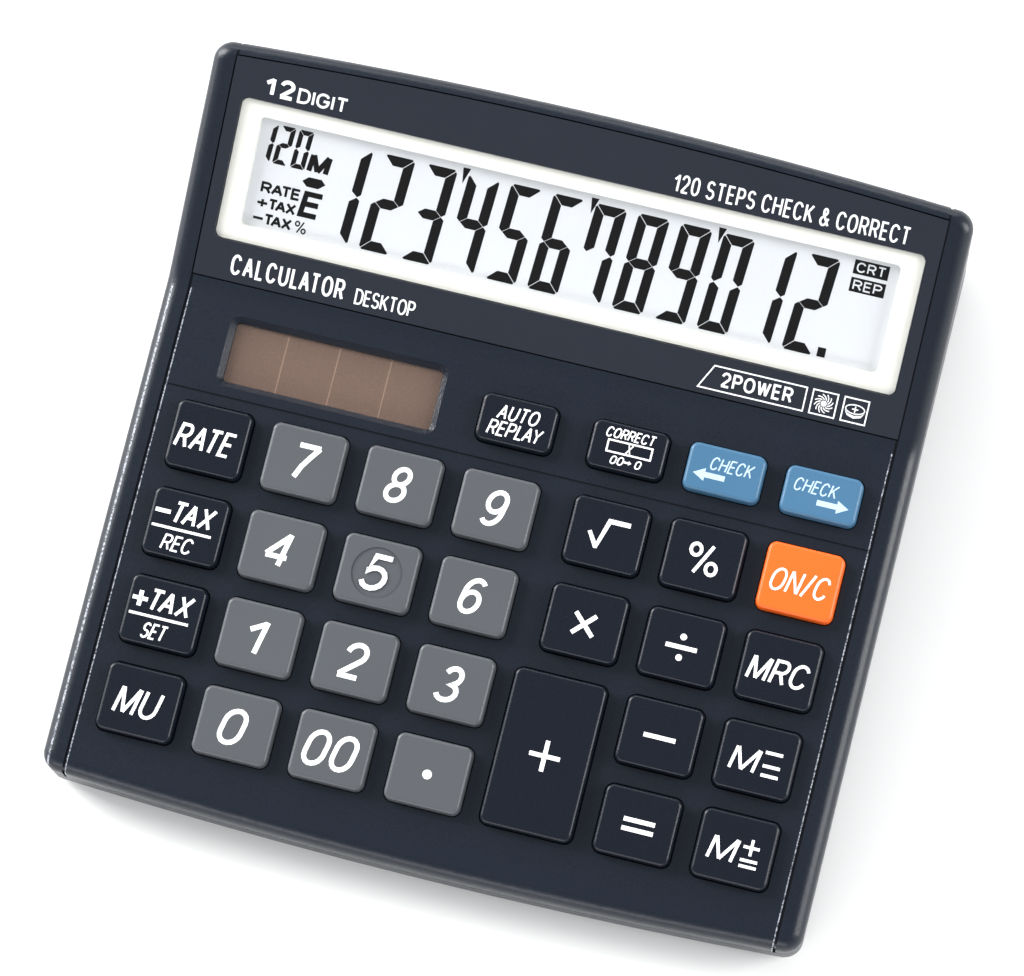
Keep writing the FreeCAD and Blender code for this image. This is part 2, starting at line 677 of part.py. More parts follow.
def build_bottom_cover(case, shell, posts):
    """The tray below the sloping joint, with the battery house, foot seats and screw wells."""
    tray = cut("tray", shell, keypad_half_space("above_tray", "-(part_depth + part_gap)", above=True))
    feet = cut("lower_posts", posts, keypad_half_space("above_joint", "-part_depth", above=True))
    house = box("door_house", "door_width + 2 * (tongue_wide + house_wall)",
                "door_front + case_depth / 2 - battery_y", "case_wall + house_wall", "desk", "battery_x",
                "battery_y + (case_depth / 2 - battery_y - door_front) / 2", "foot_height")
    well_out = box("well_out", WELL_OUT, WELL_OUT, f"{WELL_TOP} + well_wall - foot_height", "desk",
                   "battery_x", "battery_y", "foot_height")
    house_in_case = common("house_in_case", fuse("house_solid", house, well_out), case)
    sleeves = common("sleeves_in_case", fuse("sleeves", *bars(
        "sleeve", "head_radius + head_play + sleeve_wall", lambda y: "foot_height",
        lambda y: f"({parting_height(y)} - {SCREW_GRIP} + sleeve_wall)")), case)
    solid = fuse("tray_solid", tray, feet, sleeves, house_in_case)
    wells = bars("screw_well", "head_radius + head_play", lambda y: "0",
                 lambda y: f"({parting_height(y)} - {SCREW_GRIP})")
    shanks = bars("screw_way", "shank_radius + head_play", lambda y: "0",
                  lambda y: f"({parting_height(y)} + {REACH})")
    seats = [cylinder(f"foot_seat_{i}", "foot_radius + foot_play", "foot_height + foot_seat", "desk", x, y)
             for i, (x, y) in enumerate(FOOT_PLACES)]
    wire_slot = box("wire_slot", "contact_wide", WELL_OUT, "contact_wide", "desk", "battery_x",
                    f"battery_y - {WELL_OUT} / 2", f"{WELL_TOP} - contact_wide")
    well = box("well", WELL, WELL, f"{WELL_TOP} - {DOOR_CEILING}", "desk", "battery_x", "battery_y",
               DOOR_CEILING)
    tools = wells + shanks + seats + [well, wire_slot] + door_way()
    node("bottom_cover", cut("bottom_cover", solid, *tools))


def door_block(name, side, front, thick, up):
    """A block that runs from in front of the battery out through the back of the case."""
    long = f"({DOOR_BACK} - battery_y + door_front + {front})"
    return box(name, f"door_width + 2 * ({side})", long, thick, "desk", "battery_x",
               f"battery_y - door_front - {front} + {long} / 2", up)


def door_way():
    """The slot in the floor that the battery door slides in, with a groove down each side."""
    tongue_low = "foot_height + door_thick - tongue_thick - door_top_gap"
    return [
        door_block("door_slot", "door_side_gap", "door_side_gap",
                   "door_thick + door_top_gap + foot_height", "0"),
        door_block("door_groove", "tongue_wide + door_side_gap", "door_side_gap",
                   "tongue_thick + 2 * door_top_gap", tongue_low),
    ]


def build_battery_door(case):
    """A flat door with a tongue down each side and three finger grooves."""
    plate = door_block("door_plate", "0", "0", "door_thick", "foot_height")
    tongues = door_block("door_tongues", "tongue_wide", "0", "tongue_thick",
                         "foot_height + door_thick - tongue_thick")
    blank = common("door_blank", fuse("door_solid", plate, tongues), case)
    grips = [box(f"grip_{i}", "grip_long", "grip_wide", "foot_height + grip_deep", "desk",
                 "battery_x", f"battery_y + grip_start + {i} * 2 * grip_wide") for i in range(3)]
    node("battery_door", cut("battery_door", blank, *grips))


def build_battery():
    """The button cell with its narrower negative face down, and the two contact strips."""
    low = f"({DOOR_CEILING} + 2 * contact_thick)"
    step = "battery_thick / 4"
    cell = fuse("button_cell",
                cylinder("cell_can", "battery_radius", f"battery_thick - {step}", "desk", "battery_x",
                         "battery_y", f"{low} + {step}"),
                cylinder("cell_cap", "battery_radius - well_play", f"{step} + contact_thick", "desk",
                         "battery_x", "battery_y", low))
    node("button_cell", cell)
    inner = "(battery_radius + well_play)"
    tail = box("plus_tail", "contact_wide - contact_thick", "well_wall + contact_wide", "contact_thick",
               "desk", "battery_x", f"battery_y - {inner} - (well_wall + contact_wide) / 2",
               f"{WELL_TOP} - contact_thick")
    over = box("plus_over", "contact_wide - contact_thick", f"{inner} * 1.5", "contact_thick", "desk",
               "battery_x", f"battery_y - {inner} / 4", f"{WELL_TOP} - contact_thick")
    node("contact_plus", fuse("contact_plus", tail, over))
    under = box("minus_under", "contact_wide", f"{inner} * 1.5", "contact_thick", "desk", "battery_x",
                f"battery_y + {inner} / 4 - contact_thick", f"{DOOR_CEILING} + contact_thick")
    rise = box("minus_rise", "contact_wide", "contact_thick",
               f"{WELL_TOP} - contact_wide - {DOOR_CEILING} - contact_thick", "desk", "battery_x",
               f"battery_y + {inner} - contact_thick / 2", f"{DOOR_CEILING} + contact_thick")
    node("contact_minus", fuse("contact_minus", under, rise))


def build_feet():
    """Four round rubber feet pressed into their seats."""
    feet = [cylinder(f"foot_{i}", "foot_radius", "foot_height + foot_seat", "desk", x, y)
            for i, (x, y) in enumerate(FOOT_PLACES)]
    node("rubber_feet", group("rubber_feet", *feet))


def cross_recess(name, x, y, up, frame, deep):
    """The driver's cross in a screw head, open downwards."""
    return [box(f"{name}_{i}", a, b, deep, frame, x, y, up)
            for i, (a, b) in enumerate((("recess_wide", "recess_long"), ("recess_long", "recess_wide")))]


def build_case_screws():
    """Six self-tapping screws, heads down in the wells of the bottom cover."""
    screws = []
    for i, (x, y) in enumerate(POST_PLACES):
        ledge = f"({parting_height(y)} - {SCREW_GRIP})"
        head = cylinder(f"case_head_{i}", "head_radius", "head_high", "desk", x, y, f"{ledge} - head_high")
        shank = cylinder(f"case_shank_{i}", "shank_radius", f"{SCREW_GRIP} + screw_bite", "desk", x, y, ledge)
        cross = cross_recess(f"case_cross_{i}", x, y, f"{ledge} - head_high - {REACH}", "desk",
                             f"head_high / 2 + {REACH}")
        screws.append(cut(f"case_screw_{i}", fuse(f"case_screw_solid_{i}", head, shank), *cross))
    node("case_screws", group("case_screws", *screws))


def build_board_screws():
    """Small screws that hold the board up against its posts."""
    under = f"-{BOARD_LOW}"
    screws = []
    for i, (x, along) in enumerate(BOARD_PLACES):
        head = cylinder(f"board_head_{i}", "board_head", "board_head_high", "keypad", x, along,
                        f"{under} - board_head_high")
        shank = cylinder(f"board_shank_{i}", "board_screw", f"{BOARD_LOW} - case_wall - 2 * key_play",
                         "keypad", x, along, under)
        cross = cross_recess(f"board_cross_{i}", x, along, f"{under} - board_head_high - {REACH}", "keypad",
                             f"board_head_high / 2 + {REACH}")
        screws.append(cut(f"board_screw_{i}", fuse(f"board_screw_solid_{i}", head, shank), *cross))
    node("board_screws", group("board_screws", *screws))


def build_board():
    """The circuit board under the keys, notched round the case posts."""
    long = "(board_front + board_back)"
    plate = slab("board_plate", "case_width - 2 * (case_wall + board_side)", long, "key_corner",
                 "board_thick", "keypad", "0", f"board_back - {long} / 2", f"-{BOARD_LOW}")
    notches = bars("board_notch", "post_radius + board_play", lambda y: "0", lambda y: KINK_Z)
    holes = board_bars("board_hole", "board_screw + key_play", f"-({BOARD_TOP} + 2 * board_thick)",
                       "3 * board_thick")
    node("circuit_board", cut("circuit_board", plate, *notches, *holes))
    dome = new("Part::Cone", "chip_dome", Radius1="chip_top", Radius2="chip_radius",
               Height="chip_high")
    node("chip_cover", seat(dome, "keypad", "0", "-chip_along", f"-({BOARD_LOW} + chip_high)"))
    can = new("Part::Cylinder", "capacitor", Radius="can_radius", Height="can_long")
    lie = "rotation(vector(0; 1; 0); 90)"
    level = f"-({BOARD_LOW} + can_radius)"
    y = f"kink_y - strip_row * cos(keypad_tilt) - ({level}) * sin(keypad_tilt)"
    z = f"{KINK_Z} - strip_row * sin(keypad_tilt) + ({level}) * cos(keypad_tilt)"
    can.setExpression("Placement", link(f"placement(vector(post_x / 2; {y}; {z}); {lie})"))
    node("capacitor", can)


def build_mat():
    """One rubber sheet with a dome under each key, and a carbon pill inside each dome."""
    front = f"({row_along(3)} - key_length / 2 - flange_wide)"
    back = "-(strip_row - strip_length / 2 - flange_wide)"
    plate = slab("mat_plate", "case_width - 2 * (case_wall + board_side + board_play)", f"({back} - {front})",
                 "key_corner", "mat_thick", "keypad", "0", f"({back} + {front}) / 2",
                 f"-{BOARD_TOP}")
    domes, hollows, pills = [], [], []
    for name, column, row in KEYS:
        x, along, wide, long = key_place(name, column, row)
        dome = new("Part::Cone", f"dome_{name}", Radius1="dome_base", Radius2="dome_top",
                   Height="dome_high + mat_thick / 2")
        domes.append(seat(dome, "keypad", x, along, f"-{BOARD_TOP} + mat_thick / 2"))
        hollows.append(cylinder(f"dome_hollow_{name}", "dome_top", f"mat_thick + {REACH}", "keypad", x,
                                along, f"-({BOARD_TOP} + {REACH})"))
        pills.append(cylinder(f"pill_{name}", "pill_radius", "pill_thick", "keypad", x, along,
                              f"-{BOARD_TOP} + mat_thick - pill_thick"))
    window = solar_slab("mat_window", "(cell_border + cell_rib + board_play)", f"-({BOARD_TOP} + {REACH})",
                        "-case_wall")
    posts = board_bars("mat_hole", "board_post + board_play", f"-({BOARD_TOP} + {REACH})",
                       f"mat_thick + dome_high + 2 * {REACH}")
    node("key_mat", cut("key_mat", fuse("mat_solid", plate, *domes), *hollows, window, *posts))
    node("contact_pills", group("contact_pills", *pills))


def build_display():
    """Panel, clear window, white frame, liquid-crystal glass and the reflector behind it."""
    panel = display_bed("panel_blank", "panel_gap", "panel_thick", "-panel_thick")
    hole = display_slab("panel_hole", "window_gap", f"-{KINK_Z}", KINK_Z)
    node("display_panel", cut("display_panel", panel, hole))
    node("display_window", display_slab("display_window", "0", "-panel_thick", "0"))
    flange_low = "-(view_deep + glass_thick)"
    collar = display_slab("frame_collar", "0", f"-(case_wall + {REACH} / 2)", "-(panel_thick + panel_bed)")
    flange = slab("frame_flange", f"{WINDOW_WIDTH} + 2 * frame_lip", f"{WINDOW_LENGTH} + 2 * frame_lip_long",
                  "window_corner", f"-(case_wall + panel_bed) - {flange_low}", "display", "0",
                  "window_middle", flange_low)
    seat_of_glass = slab("glass_seat", f"{GLASS_WIDTH} + 2 * glass_play", f"{GLASS_LENGTH} + 2 * glass_play",
                         "glass_play", f"-view_deep - {flange_low} + {REACH}", "display", "0",
                         "window_middle", f"{flange_low} - {REACH}")
    node("display_frame", cut("display_frame", fuse("frame_solid", collar, flange),
                              view_slab("frame_view", f"{flange_low} - {REACH}", REACH), seat_of_glass))
    node("lcd_glass", box("lcd_glass", GLASS_WIDTH, GLASS_LENGTH, "glass_thick", "display", "0",
                          "window_middle", "-(view_deep + glass_thick)"))
    reflector_long = f"({GLASS_LENGTH} - 2 * ribbon_land)"
    node("reflector", box("reflector", GLASS_WIDTH, reflector_long, "reflector_thick", "display", "0",
                          "window_middle + ribbon_land", f"-(view_deep + glass_thick + reflector_thick)"))


def build_ribbon():
    """The flat cable from the board's back edge up to the lower edge of the glass."""
    glass_edge = f"(window_middle - {GLASS_LENGTH} / 2)"
    low = "(view_deep + glass_thick)"
    glass = [(f"kink_y + {along} * cos(display_tilt) + {low} * sin(display_tilt)",
              f"{KINK_Z} + {along} * sin(display_tilt) - {low} * cos(display_tilt)")
             for along in (f"({glass_edge} + ribbon_land)", glass_edge)]
    board = [(f"kink_y + {along} * cos(keypad_tilt) + {BOARD_TOP} * sin(keypad_tilt)",
              f"{KINK_Z} + {along} * sin(keypad_tilt) - {BOARD_TOP} * cos(keypad_tilt)")
             for along in ("board_back", "(board_back - ribbon_land)")]
    # the upper face from the glass down to the board, then the lower face back again
    points = (glass + [(y, f"{z} + ribbon_thick") for y, z in board]
              + board[::-1] + [(y, f"{z} - ribbon_thick") for y, z in glass[::-1]])
    sketch = doc.addObject("Sketcher::SketchObject", "ribbon_outline")
    sketch.Placement.Rotation = FreeCAD.Rotation(Vector(0, 1, 0), Vector(0, 0, 1), Vector(1, 0, 0), "XYZ")
    spots = [Vector(value(y), value(z), 0) for y, z in points]
    for i, spot in enumerate(spots):
        sketch.addGeometry(Part.LineSegment(spot, spots[(i + 1) % len(spots)]))
    for i, (y, z) in enumerate(points):
        rule(sketch, "Coincident", i, 2, (i + 1) % len(points), 1)
        rule(sketch, "DistanceX", -1, 1, i, 1, formula=y)
        rule(sketch, "DistanceY", -1, 1, i, 1, formula=z)
    ribbon = new("Part::Extrusion", "lcd_ribbon", LengthFwd="ribbon_width")
    ribbon.Base = sketch
    ribbon.DirMode = "Normal"
    ribbon.Symmetric = True
    ribbon.Solid = True
    node("lcd_ribbon", ribbon)


def build_solar():
    """The clear pane over the cell, the cell behind the cover, and its two leads to the board."""
    node("solar_window", solar_slab("solar_window", "-window_gap", "-case_wall", "-(case_wall - solar_pane)"))
    node("solar_cell", box("solar_cell", "solar_width + 2 * cell_border", "solar_length + 2 * cell_border",
                           "cell_thick", "keypad", "solar_x", "-solar_along",
                           "-(case_wall + panel_bed + cell_thick)"))
    low = f"-{BOARD_TOP}"
    high = f"{BOARD_TOP} - case_wall - panel_bed - cell_thick"
    leads = [cylinder(f"lead_{i}", "lead_radius", high, "keypad", f"solar_x {sign} solar_width / 2 {other} 2",
                      "-solar_along", low) for i, (sign, other) in enumerate((("-", "+"), ("+", "-")))]
    node("solar_leads", group("solar_leads", *leads))


def build_battery_wires():
    """Two insulated wires from the battery contacts to pads under the board."""
    radius = value("lead_radius")
    pad_z = value(f"{KINK_Z} - {BOARD_LOW} * cos(keypad_tilt)") - radius
    pad_y = value(f"kink_y + {BOARD_LOW} * sin(keypad_tilt)")
    x, top = value("battery_x"), value(f"{WELL_TOP} - contact_thick")
    start_y = value(f"battery_y - {WELL_OUT} / 2 - contact_wide")
    side_y = value(f"battery_y + {WELL} / 2 - contact_thick")
    side_x = x + value(WELL_OUT) / 2 + 2 * radius
    step, bend, pads = value("wire_step"), value("wire_bend"), value("wire_pads")
    sag, gap = value("wire_sag"), value("wire_gap")
    routes = [
        [(x, start_y + step, top - radius), (x - bend, start_y - 3 * step, top - radius - step / 2),
         (x - pads, pad_y + bend, pad_z - sag), (x - pads, pad_y, pad_z - gap)],
        [(side_x, side_y, top - step), (side_x, start_y, top - step),
         (x, pad_y + pads, pad_z - sag - step / 2), (x - pads / 3, pad_y, pad_z - gap)],
    ]
    wires = []
    for route in routes:
        spots = [Vector(*spot) for spot in route]
        runs = [Part.makeCylinder(radius, a.distanceToPoint(b), a, b - a) for a, b in zip(spots, spots[1:])]
        bends = [Part.makeSphere(radius, spot) for spot in spots[1:-1]]
        wires.append(runs[0].multiFuse(runs[1:] + bends).removeSplitter())
    bundle = doc.addObject("Part::Feature", "battery_wires")
    bundle.Shape = Part.makeCompound(wires)
    node("battery_wires", bundle)


def build_all():
    """Build every sub-part of the calculator."""
    case = build_case_block()
    cavity = common("cavity", case_profile("cavity_side", "(case_depth / 2)", "case_wall", FLOOR),
                    case_plan("cavity_plan", "case_wall"))
    shell = cut("shell", case, cavity)
    columns = bars("post", "post_radius", lambda y: "foot_height", lambda y: f"({KINK_Z} + case_depth / 2)")
    posts = common("posts", fuse("post_bars", *columns), case)
    build_top_cover(shell, posts)
    build_bottom_cover(case, shell, posts)
    build_battery_door(case)
    build_battery()
    build_battery_wires()
    build_feet()
    build_case_screws()
    build_display()
    build_ribbon()
    build_solar()
    build_board()
    build_board_screws()
    build_mat()
    for name, column, row in KEYS:
        build_key(name, column, row)


def check_and_export():
    """Stop on anything that failed, then write one STEP file for each sub-part."""
    doc.recompute()
    failed = [thing.Name for thing in doc.Objects if {"Invalid", "Error"} & set(thing.State)]
    failed += [thing.Label for thing in nodes if thing.Shape.isNull() or not thing.Shape.isValid()
               or not thing.Shape.Solids]
    if failed:
        raise SystemExit(f"failed objects: {failed}")
    os.makedirs("parts", exist_ok=True)
    for thing in nodes:
        thing.Shape.exportStep(f"parts/{thing.Label}.step")
        print(f"{thing.Label}: {len(thing.Shape.Solids)} solids, {thing.Shape.Volume:.1f} mm3")


build_all()
check_and_export()
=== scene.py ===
"""Looks of a twelve-digit desk calculator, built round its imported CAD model.

The model's own frame is in metres: X to the right, Y to the back, Z up, feet on Z = 0. The named
sizes of pieces and prints are in millimetres, and MM turns them to metres.
"""
import math

import bmesh
import bpy
from mathutils import Matrix, Vector


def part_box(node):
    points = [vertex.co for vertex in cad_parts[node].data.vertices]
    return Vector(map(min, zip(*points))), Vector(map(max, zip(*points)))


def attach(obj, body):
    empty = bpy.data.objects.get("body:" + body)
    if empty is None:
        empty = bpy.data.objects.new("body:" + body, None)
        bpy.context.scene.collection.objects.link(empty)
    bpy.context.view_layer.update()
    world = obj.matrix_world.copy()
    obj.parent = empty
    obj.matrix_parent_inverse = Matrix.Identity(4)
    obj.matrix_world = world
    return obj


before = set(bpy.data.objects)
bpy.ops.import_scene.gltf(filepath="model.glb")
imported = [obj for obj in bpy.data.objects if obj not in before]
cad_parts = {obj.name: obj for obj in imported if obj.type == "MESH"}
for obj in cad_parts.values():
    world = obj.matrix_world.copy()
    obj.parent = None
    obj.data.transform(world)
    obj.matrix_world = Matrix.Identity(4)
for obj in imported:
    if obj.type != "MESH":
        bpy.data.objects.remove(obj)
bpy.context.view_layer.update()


# ---------------------------------------------------------------------------------------------
# Bottom cover: the tray that closes the case from below. It is ABS, injection moulded in a
# spark-eroded tool, which leaves a fine, even, matt grain all over. Six screws hold it.
MM = 0.001
ABS_IOR = 1.53
CASE_NAVY = "#121924"
CASE_ROUGH = 0.32
CASE_GRAIN = 0.32  # in mm; the real grit is nearer 0.1 mm, drawn coarser so that it shows
CASE_GRAIN_DEPTH = 0.018
CASE_SHINE = 0.33  # below 0.5, as the pits swallow most of the shine
CLOUD = 22.0  # in mm; how far apart the flow of the melt leaves faint lighter and darker areas
MIX_FIRST, MIX_SECOND, MIX_RESULT = 6, 7, 2  # a Mix node's colour sockets


def linear(code):
    """An sRGB hex colour as the linear numbers that shaders take."""
    parts = [int(code[i:i + 2], 16) / 255 for i in (1, 3, 5)]
    return [p / 12.92 if p <= 0.04045 else ((p + 0.055) / 1.055) ** 2.4 for p in parts] + [1.0]


def shade(code, times):
    """The linear colour made lighter or darker."""
    return [min(1.0, part * times) for part in linear(code)[:3]] + [1.0]


def add(tree, kind, sockets, **settings):
    """Add a node, set it up, and give each of its sockets a number or another node's output."""
    node = tree.nodes.new(kind)
    for word, setting in settings.items():
        setattr(node, word, setting)
    for socket, source in sockets.items():
        if isinstance(source, bpy.types.NodeSocket):
            tree.links.new(source, node.inputs[socket])
        else:
            node.inputs[socket].default_value = source
    return node


def start_material(name, sockets):
    """A material whose shader has these plain settings, and the place that its patterns read."""
    material = bpy.data.materials.new(name)
    material.use_nodes = True
    tree = material.node_tree
    shader = tree.nodes["Principled BSDF"]
    for socket, number in sockets.items():
        shader.inputs[socket].default_value = number
    return material, tree, shader, add(tree, "ShaderNodeTexCoord", {}).outputs["Object"]


def moulded(name, colour, rough, ior, grain, depth, vary=0.07, shine=0.5):
    """A moulded plastic or rubber: faint clouds of colour and gloss under a fine pitted grain."""
    material, tree, shader, place = start_material(name, {"IOR": ior, "Specular IOR Level": shine})
    cloud = add(tree, "ShaderNodeTexNoise", {"Vector": place, "Scale": 1 / (CLOUD * MM), "Detail": 3.0})
    pits = add(tree, "ShaderNodeTexNoise", {"Vector": place, "Scale": 1 / (grain * MM), "Detail": 2.0})
    tint = add(tree, "ShaderNodeMix", {0: cloud.outputs["Fac"], MIX_FIRST: shade(colour, 1 - vary),
                                       MIX_SECOND: shade(colour, 1 + vary)}, data_type="RGBA")
    speck = add(tree, "ShaderNodeMapRange", {"Value": pits.outputs["Fac"], "From Min": 0.3, "From Max": 0.7,
                                             "To Min": rough - 0.05, "To Max": rough + 0.07})
    bump = add(tree, "ShaderNodeBump", {"Height": pits.outputs["Fac"], "Distance": depth * MM,
                                        "Strength": 1.0})
    tree.links.new(tint.outputs[MIX_RESULT], shader.inputs["Base Color"])
    tree.links.new(speck.outputs["Result"], shader.inputs["Roughness"])
    tree.links.new(bump.outputs["Normal"], shader.inputs["Normal"])
    return material


def finish_in(material, *names):
    """Give CAD nodes their finish."""
    for name in names:
        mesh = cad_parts[name].data
        if not mesh.materials:
            mesh.materials.append(material)
        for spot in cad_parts[name].material_slots:
            spot.material = material


# spark-eroded ABS: matt and even, with pits just deep enough to break up its reflections
case_abs = moulded("abs_spark_eroded_navy", CASE_NAVY, rough=CASE_ROUGH, ior=ABS_IOR, grain=CASE_GRAIN,
                   depth=CASE_GRAIN_DEPTH, shine=CASE_SHINE)
finish_in(case_abs, "bottom_cover")


# ---------------------------------------------------------------------------------------------
# Rubber feet: four round pads of moulded black rubber, pressed into seats in the bottom cover.
# Rubber looks soft and dull, with a slightly dusty skin, so it has a high roughness.
FOOT_BLACK = "#26272a"
foot_rubber = moulded("nitrile_rubber_moulded", FOOT_BLACK, rough=0.78, ior=1.52, grain=0.25, depth=0.02,
                      vary=0.2)
finish_in(foot_rubber, "rubber_feet")


# ---------------------------------------------------------------------------------------------
# Battery: a steel button cell between two sprung nickel-plated contacts, with two thin PVC
# insulated wires, red and black, soldered to them. The steel gleams coolly along its drawing
# marks, the nickel is warmer, and the PVC has a soft gloss with a slight ripple.
STEEL_TONE = "#c9c9c4"
NICKEL_TONE = "#d6cfbe"
WIRE_RED, WIRE_BLACK = "#a3201c", "#1a1a1c"
BRUSH = 0.12  # spacing in mm of the drawing marks in pressed sheet steel
MARK_DEPTH = 0.01
WIRE_RIPPLE, WIRE_RIPPLE_DEPTH = 0.6, 0.02


def drawn_metal(name, colour, rough, spacing, stretch):
    """A plated or pressed metal with fine marks from the die, which run along one axis."""
    material, tree, shader, place = start_material(name, {"Metallic": 1.0})
    turned = add(tree, "ShaderNodeMapping", {"Vector": place, "Scale": stretch})
    marks = add(tree, "ShaderNodeTexNoise", {"Vector": turned.outputs["Vector"], "Scale": 1 / (spacing * MM),
                                             "Detail": 2.0})
    tint = add(tree, "ShaderNodeMix", {0: marks.outputs["Fac"], MIX_FIRST: shade(colour, 0.82),
                                       MIX_SECOND: shade(colour, 1.08)}, data_type="RGBA")
    gloss = add(tree, "ShaderNodeMapRange", {"Value": marks.outputs["Fac"], "To Min": rough - 0.08,
                                             "To Max": rough + 0.12})
    bump = add(tree, "ShaderNodeBump", {"Height": marks.outputs["Fac"], "Distance": MARK_DEPTH * MM})
    tree.links.new(tint.outputs[MIX_RESULT], shader.inputs["Base Color"])
    tree.links.new(gloss.outputs["Result"], shader.inputs["Roughness"])
    tree.links.new(bump.outputs["Normal"], shader.inputs["Normal"])
    return material


cell_steel = drawn_metal("stainless_steel_pressed", STEEL_TONE, rough=0.28, spacing=BRUSH,
                         stretch=(1.0, 0.06, 1.0))
finish_in(cell_steel, "button_cell")
contact_nickel = drawn_metal("phosphor_bronze_nickel_plated", NICKEL_TONE, rough=0.3, spacing=BRUSH,
                             stretch=(1.0, 0.05, 1.0))
finish_in(contact_nickel, "contact_plus", "contact_minus")

wire_pvc, tree, shader, place = start_material("pvc_wire_insulation", {"IOR": 1.54, "Roughness": 0.42})
cell_low, cell_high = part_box("button_cell")
split = (cell_low.x + cell_high.x) / 2
side = add(tree, "ShaderNodeSeparateXYZ", {0: place})
over = add(tree, "ShaderNodeMath", {0: side.outputs["X"], 1: split}, operation="GREATER_THAN")
tint = add(tree, "ShaderNodeMix", {0: over.outputs["Value"], MIX_FIRST: linear(WIRE_RED),
                                   MIX_SECOND: linear(WIRE_BLACK)}, data_type="RGBA")
ripple = add(tree, "ShaderNodeTexNoise", {"Vector": place, "Scale": 1 / (WIRE_RIPPLE * MM)})
bump = add(tree, "ShaderNodeBump", {"Height": ripple.outputs["Fac"], "Distance": WIRE_RIPPLE_DEPTH * MM})
tree.links.new(tint.outputs[MIX_RESULT], shader.inputs["Base Color"])
tree.links.new(bump.outputs["Normal"], shader.inputs["Normal"])
finish_in(wire_pvc, "battery_wires")


# ---------------------------------------------------------------------------------------------
# Battery door: a flat ABS door that slides out to the back in two grooves. It has finger
# grooves and a low moulded arrow that points the way out.
ARROW_LONG, ARROW_WIDE, ARROW_HIGH = 5.0, 4.6, 0.2
ARROW_FROM_FRONT, ARROW_RIM = 4.0, 0.08  # how far from the door's front, and its bevelled rim
finish_in(case_abs, "battery_door")
door_low, door_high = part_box("battery_door")
arrow = bmesh.new()
tip_y = door_low.y + (ARROW_FROM_FRONT + ARROW_LONG) * MM
base_y = door_low.y + ARROW_FROM_FRONT * MM
middle_x = (door_low.x + door_high.x) / 2
half_base = ARROW_WIDE / 2 * MM
corners = [(middle_x, tip_y), (middle_x - half_base, base_y), (middle_x + half_base, base_y)]
arrow.faces.new([arrow.verts.new((x, y, door_low.z - ARROW_HIGH * MM)) for x, y in corners])
raised = bmesh.ops.extrude_face_region(arrow, geom=arrow.faces[:], use_keep_orig=True)
lifted = [item for item in raised["geom"] if isinstance(item, bmesh.types.BMVert)]
bmesh.ops.translate(arrow, verts=lifted, vec=(0, 0, 2 * ARROW_HIGH * MM))
bmesh.ops.recalc_face_normals(arrow, faces=arrow.faces[:])
rims = [edge for edge in arrow.edges if all(vert.co.z < door_low.z for vert in edge.verts)]
bmesh.ops.bevel(arrow, geom=rims, offset=ARROW_RIM * MM, affect="EDGES", segments=2, profile=0.5, material=-1)


def finish_piece(name, shape, material, body):
    """Turn the bmesh into a named piece that rides on its body."""
    mesh = bpy.data.meshes.new(name)
    shape.to_mesh(mesh)
    shape.free()
    mesh.materials.append(material)
    piece = bpy.data.objects.new(name, mesh)
    bpy.context.scene.collection.objects.link(piece)
    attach(piece, body)
    return piece


finish_piece("door_arrow", arrow, case_abs, "battery_door")


# ---------------------------------------------------------------------------------------------
# Circuit board: laminate under a green solder mask, with a black epoxy blob over the bare chip,
# a capacitor in its printed sleeve, and small screws up into the cover's posts. The mask is glossy
# over the faint weave of the cloth, the epoxy flows smooth, and the zinc is a dull grey.
MASK_GREEN = "#1f5a3c"
WEAVE, WEAVE_DEPTH = 0.6, 0.02  # the cloth that shows through the mask, pitch and relief in mm
EPOXY_BLACK = "#141416"
SLEEVE_BLUE = "#20324e"
SCREW_ZINC = "#aeb2b8"

board_mask, tree, shader, place = start_material("fr4_solder_mask", {"IOR": 1.55, "Roughness": 0.32})
weft = add(tree, "ShaderNodeTexWave", {"Vector": place, "Scale": 0.5 / (WEAVE * MM) / math.pi},
           bands_direction="X")
warp = add(tree, "ShaderNodeTexWave", {"Vector": place, "Scale": 0.5 / (WEAVE * MM) / math.pi},
           bands_direction="Y")
cloth = add(tree, "ShaderNodeMath", {0: weft.outputs["Fac"], 1: warp.outputs["Fac"]}, operation="MULTIPLY")
tint = add(tree, "ShaderNodeMix", {0: cloth.outputs["Value"], MIX_FIRST: shade(MASK_GREEN, 0.8),
                                   MIX_SECOND: shade(MASK_GREEN, 1.25)}, data_type="RGBA")
bump = add(tree, "ShaderNodeBump", {"Height": cloth.outputs["Value"], "Distance": WEAVE_DEPTH * MM})
tree.links.new(tint.outputs[MIX_RESULT], shader.inputs["Base Color"])
tree.links.new(bump.outputs["Normal"], shader.inputs["Normal"])
finish_in(board_mask, "circuit_board")
finish_in(moulded("epoxy_glob_cured", EPOXY_BLACK, rough=0.34, ior=1.55, grain=1.4, depth=0.05), "chip_cover")
finish_in(moulded("pet_shrink_sleeve", SLEEVE_BLUE, rough=0.3, ior=1.57, grain=0.8, depth=0.02), "capacitor")
screw_zinc = drawn_metal("steel_zinc_plated", SCREW_ZINC, rough=0.34, spacing=0.2, stretch=(1.0, 1.0, 0.3))
finish_in(screw_zinc, "board_screws")


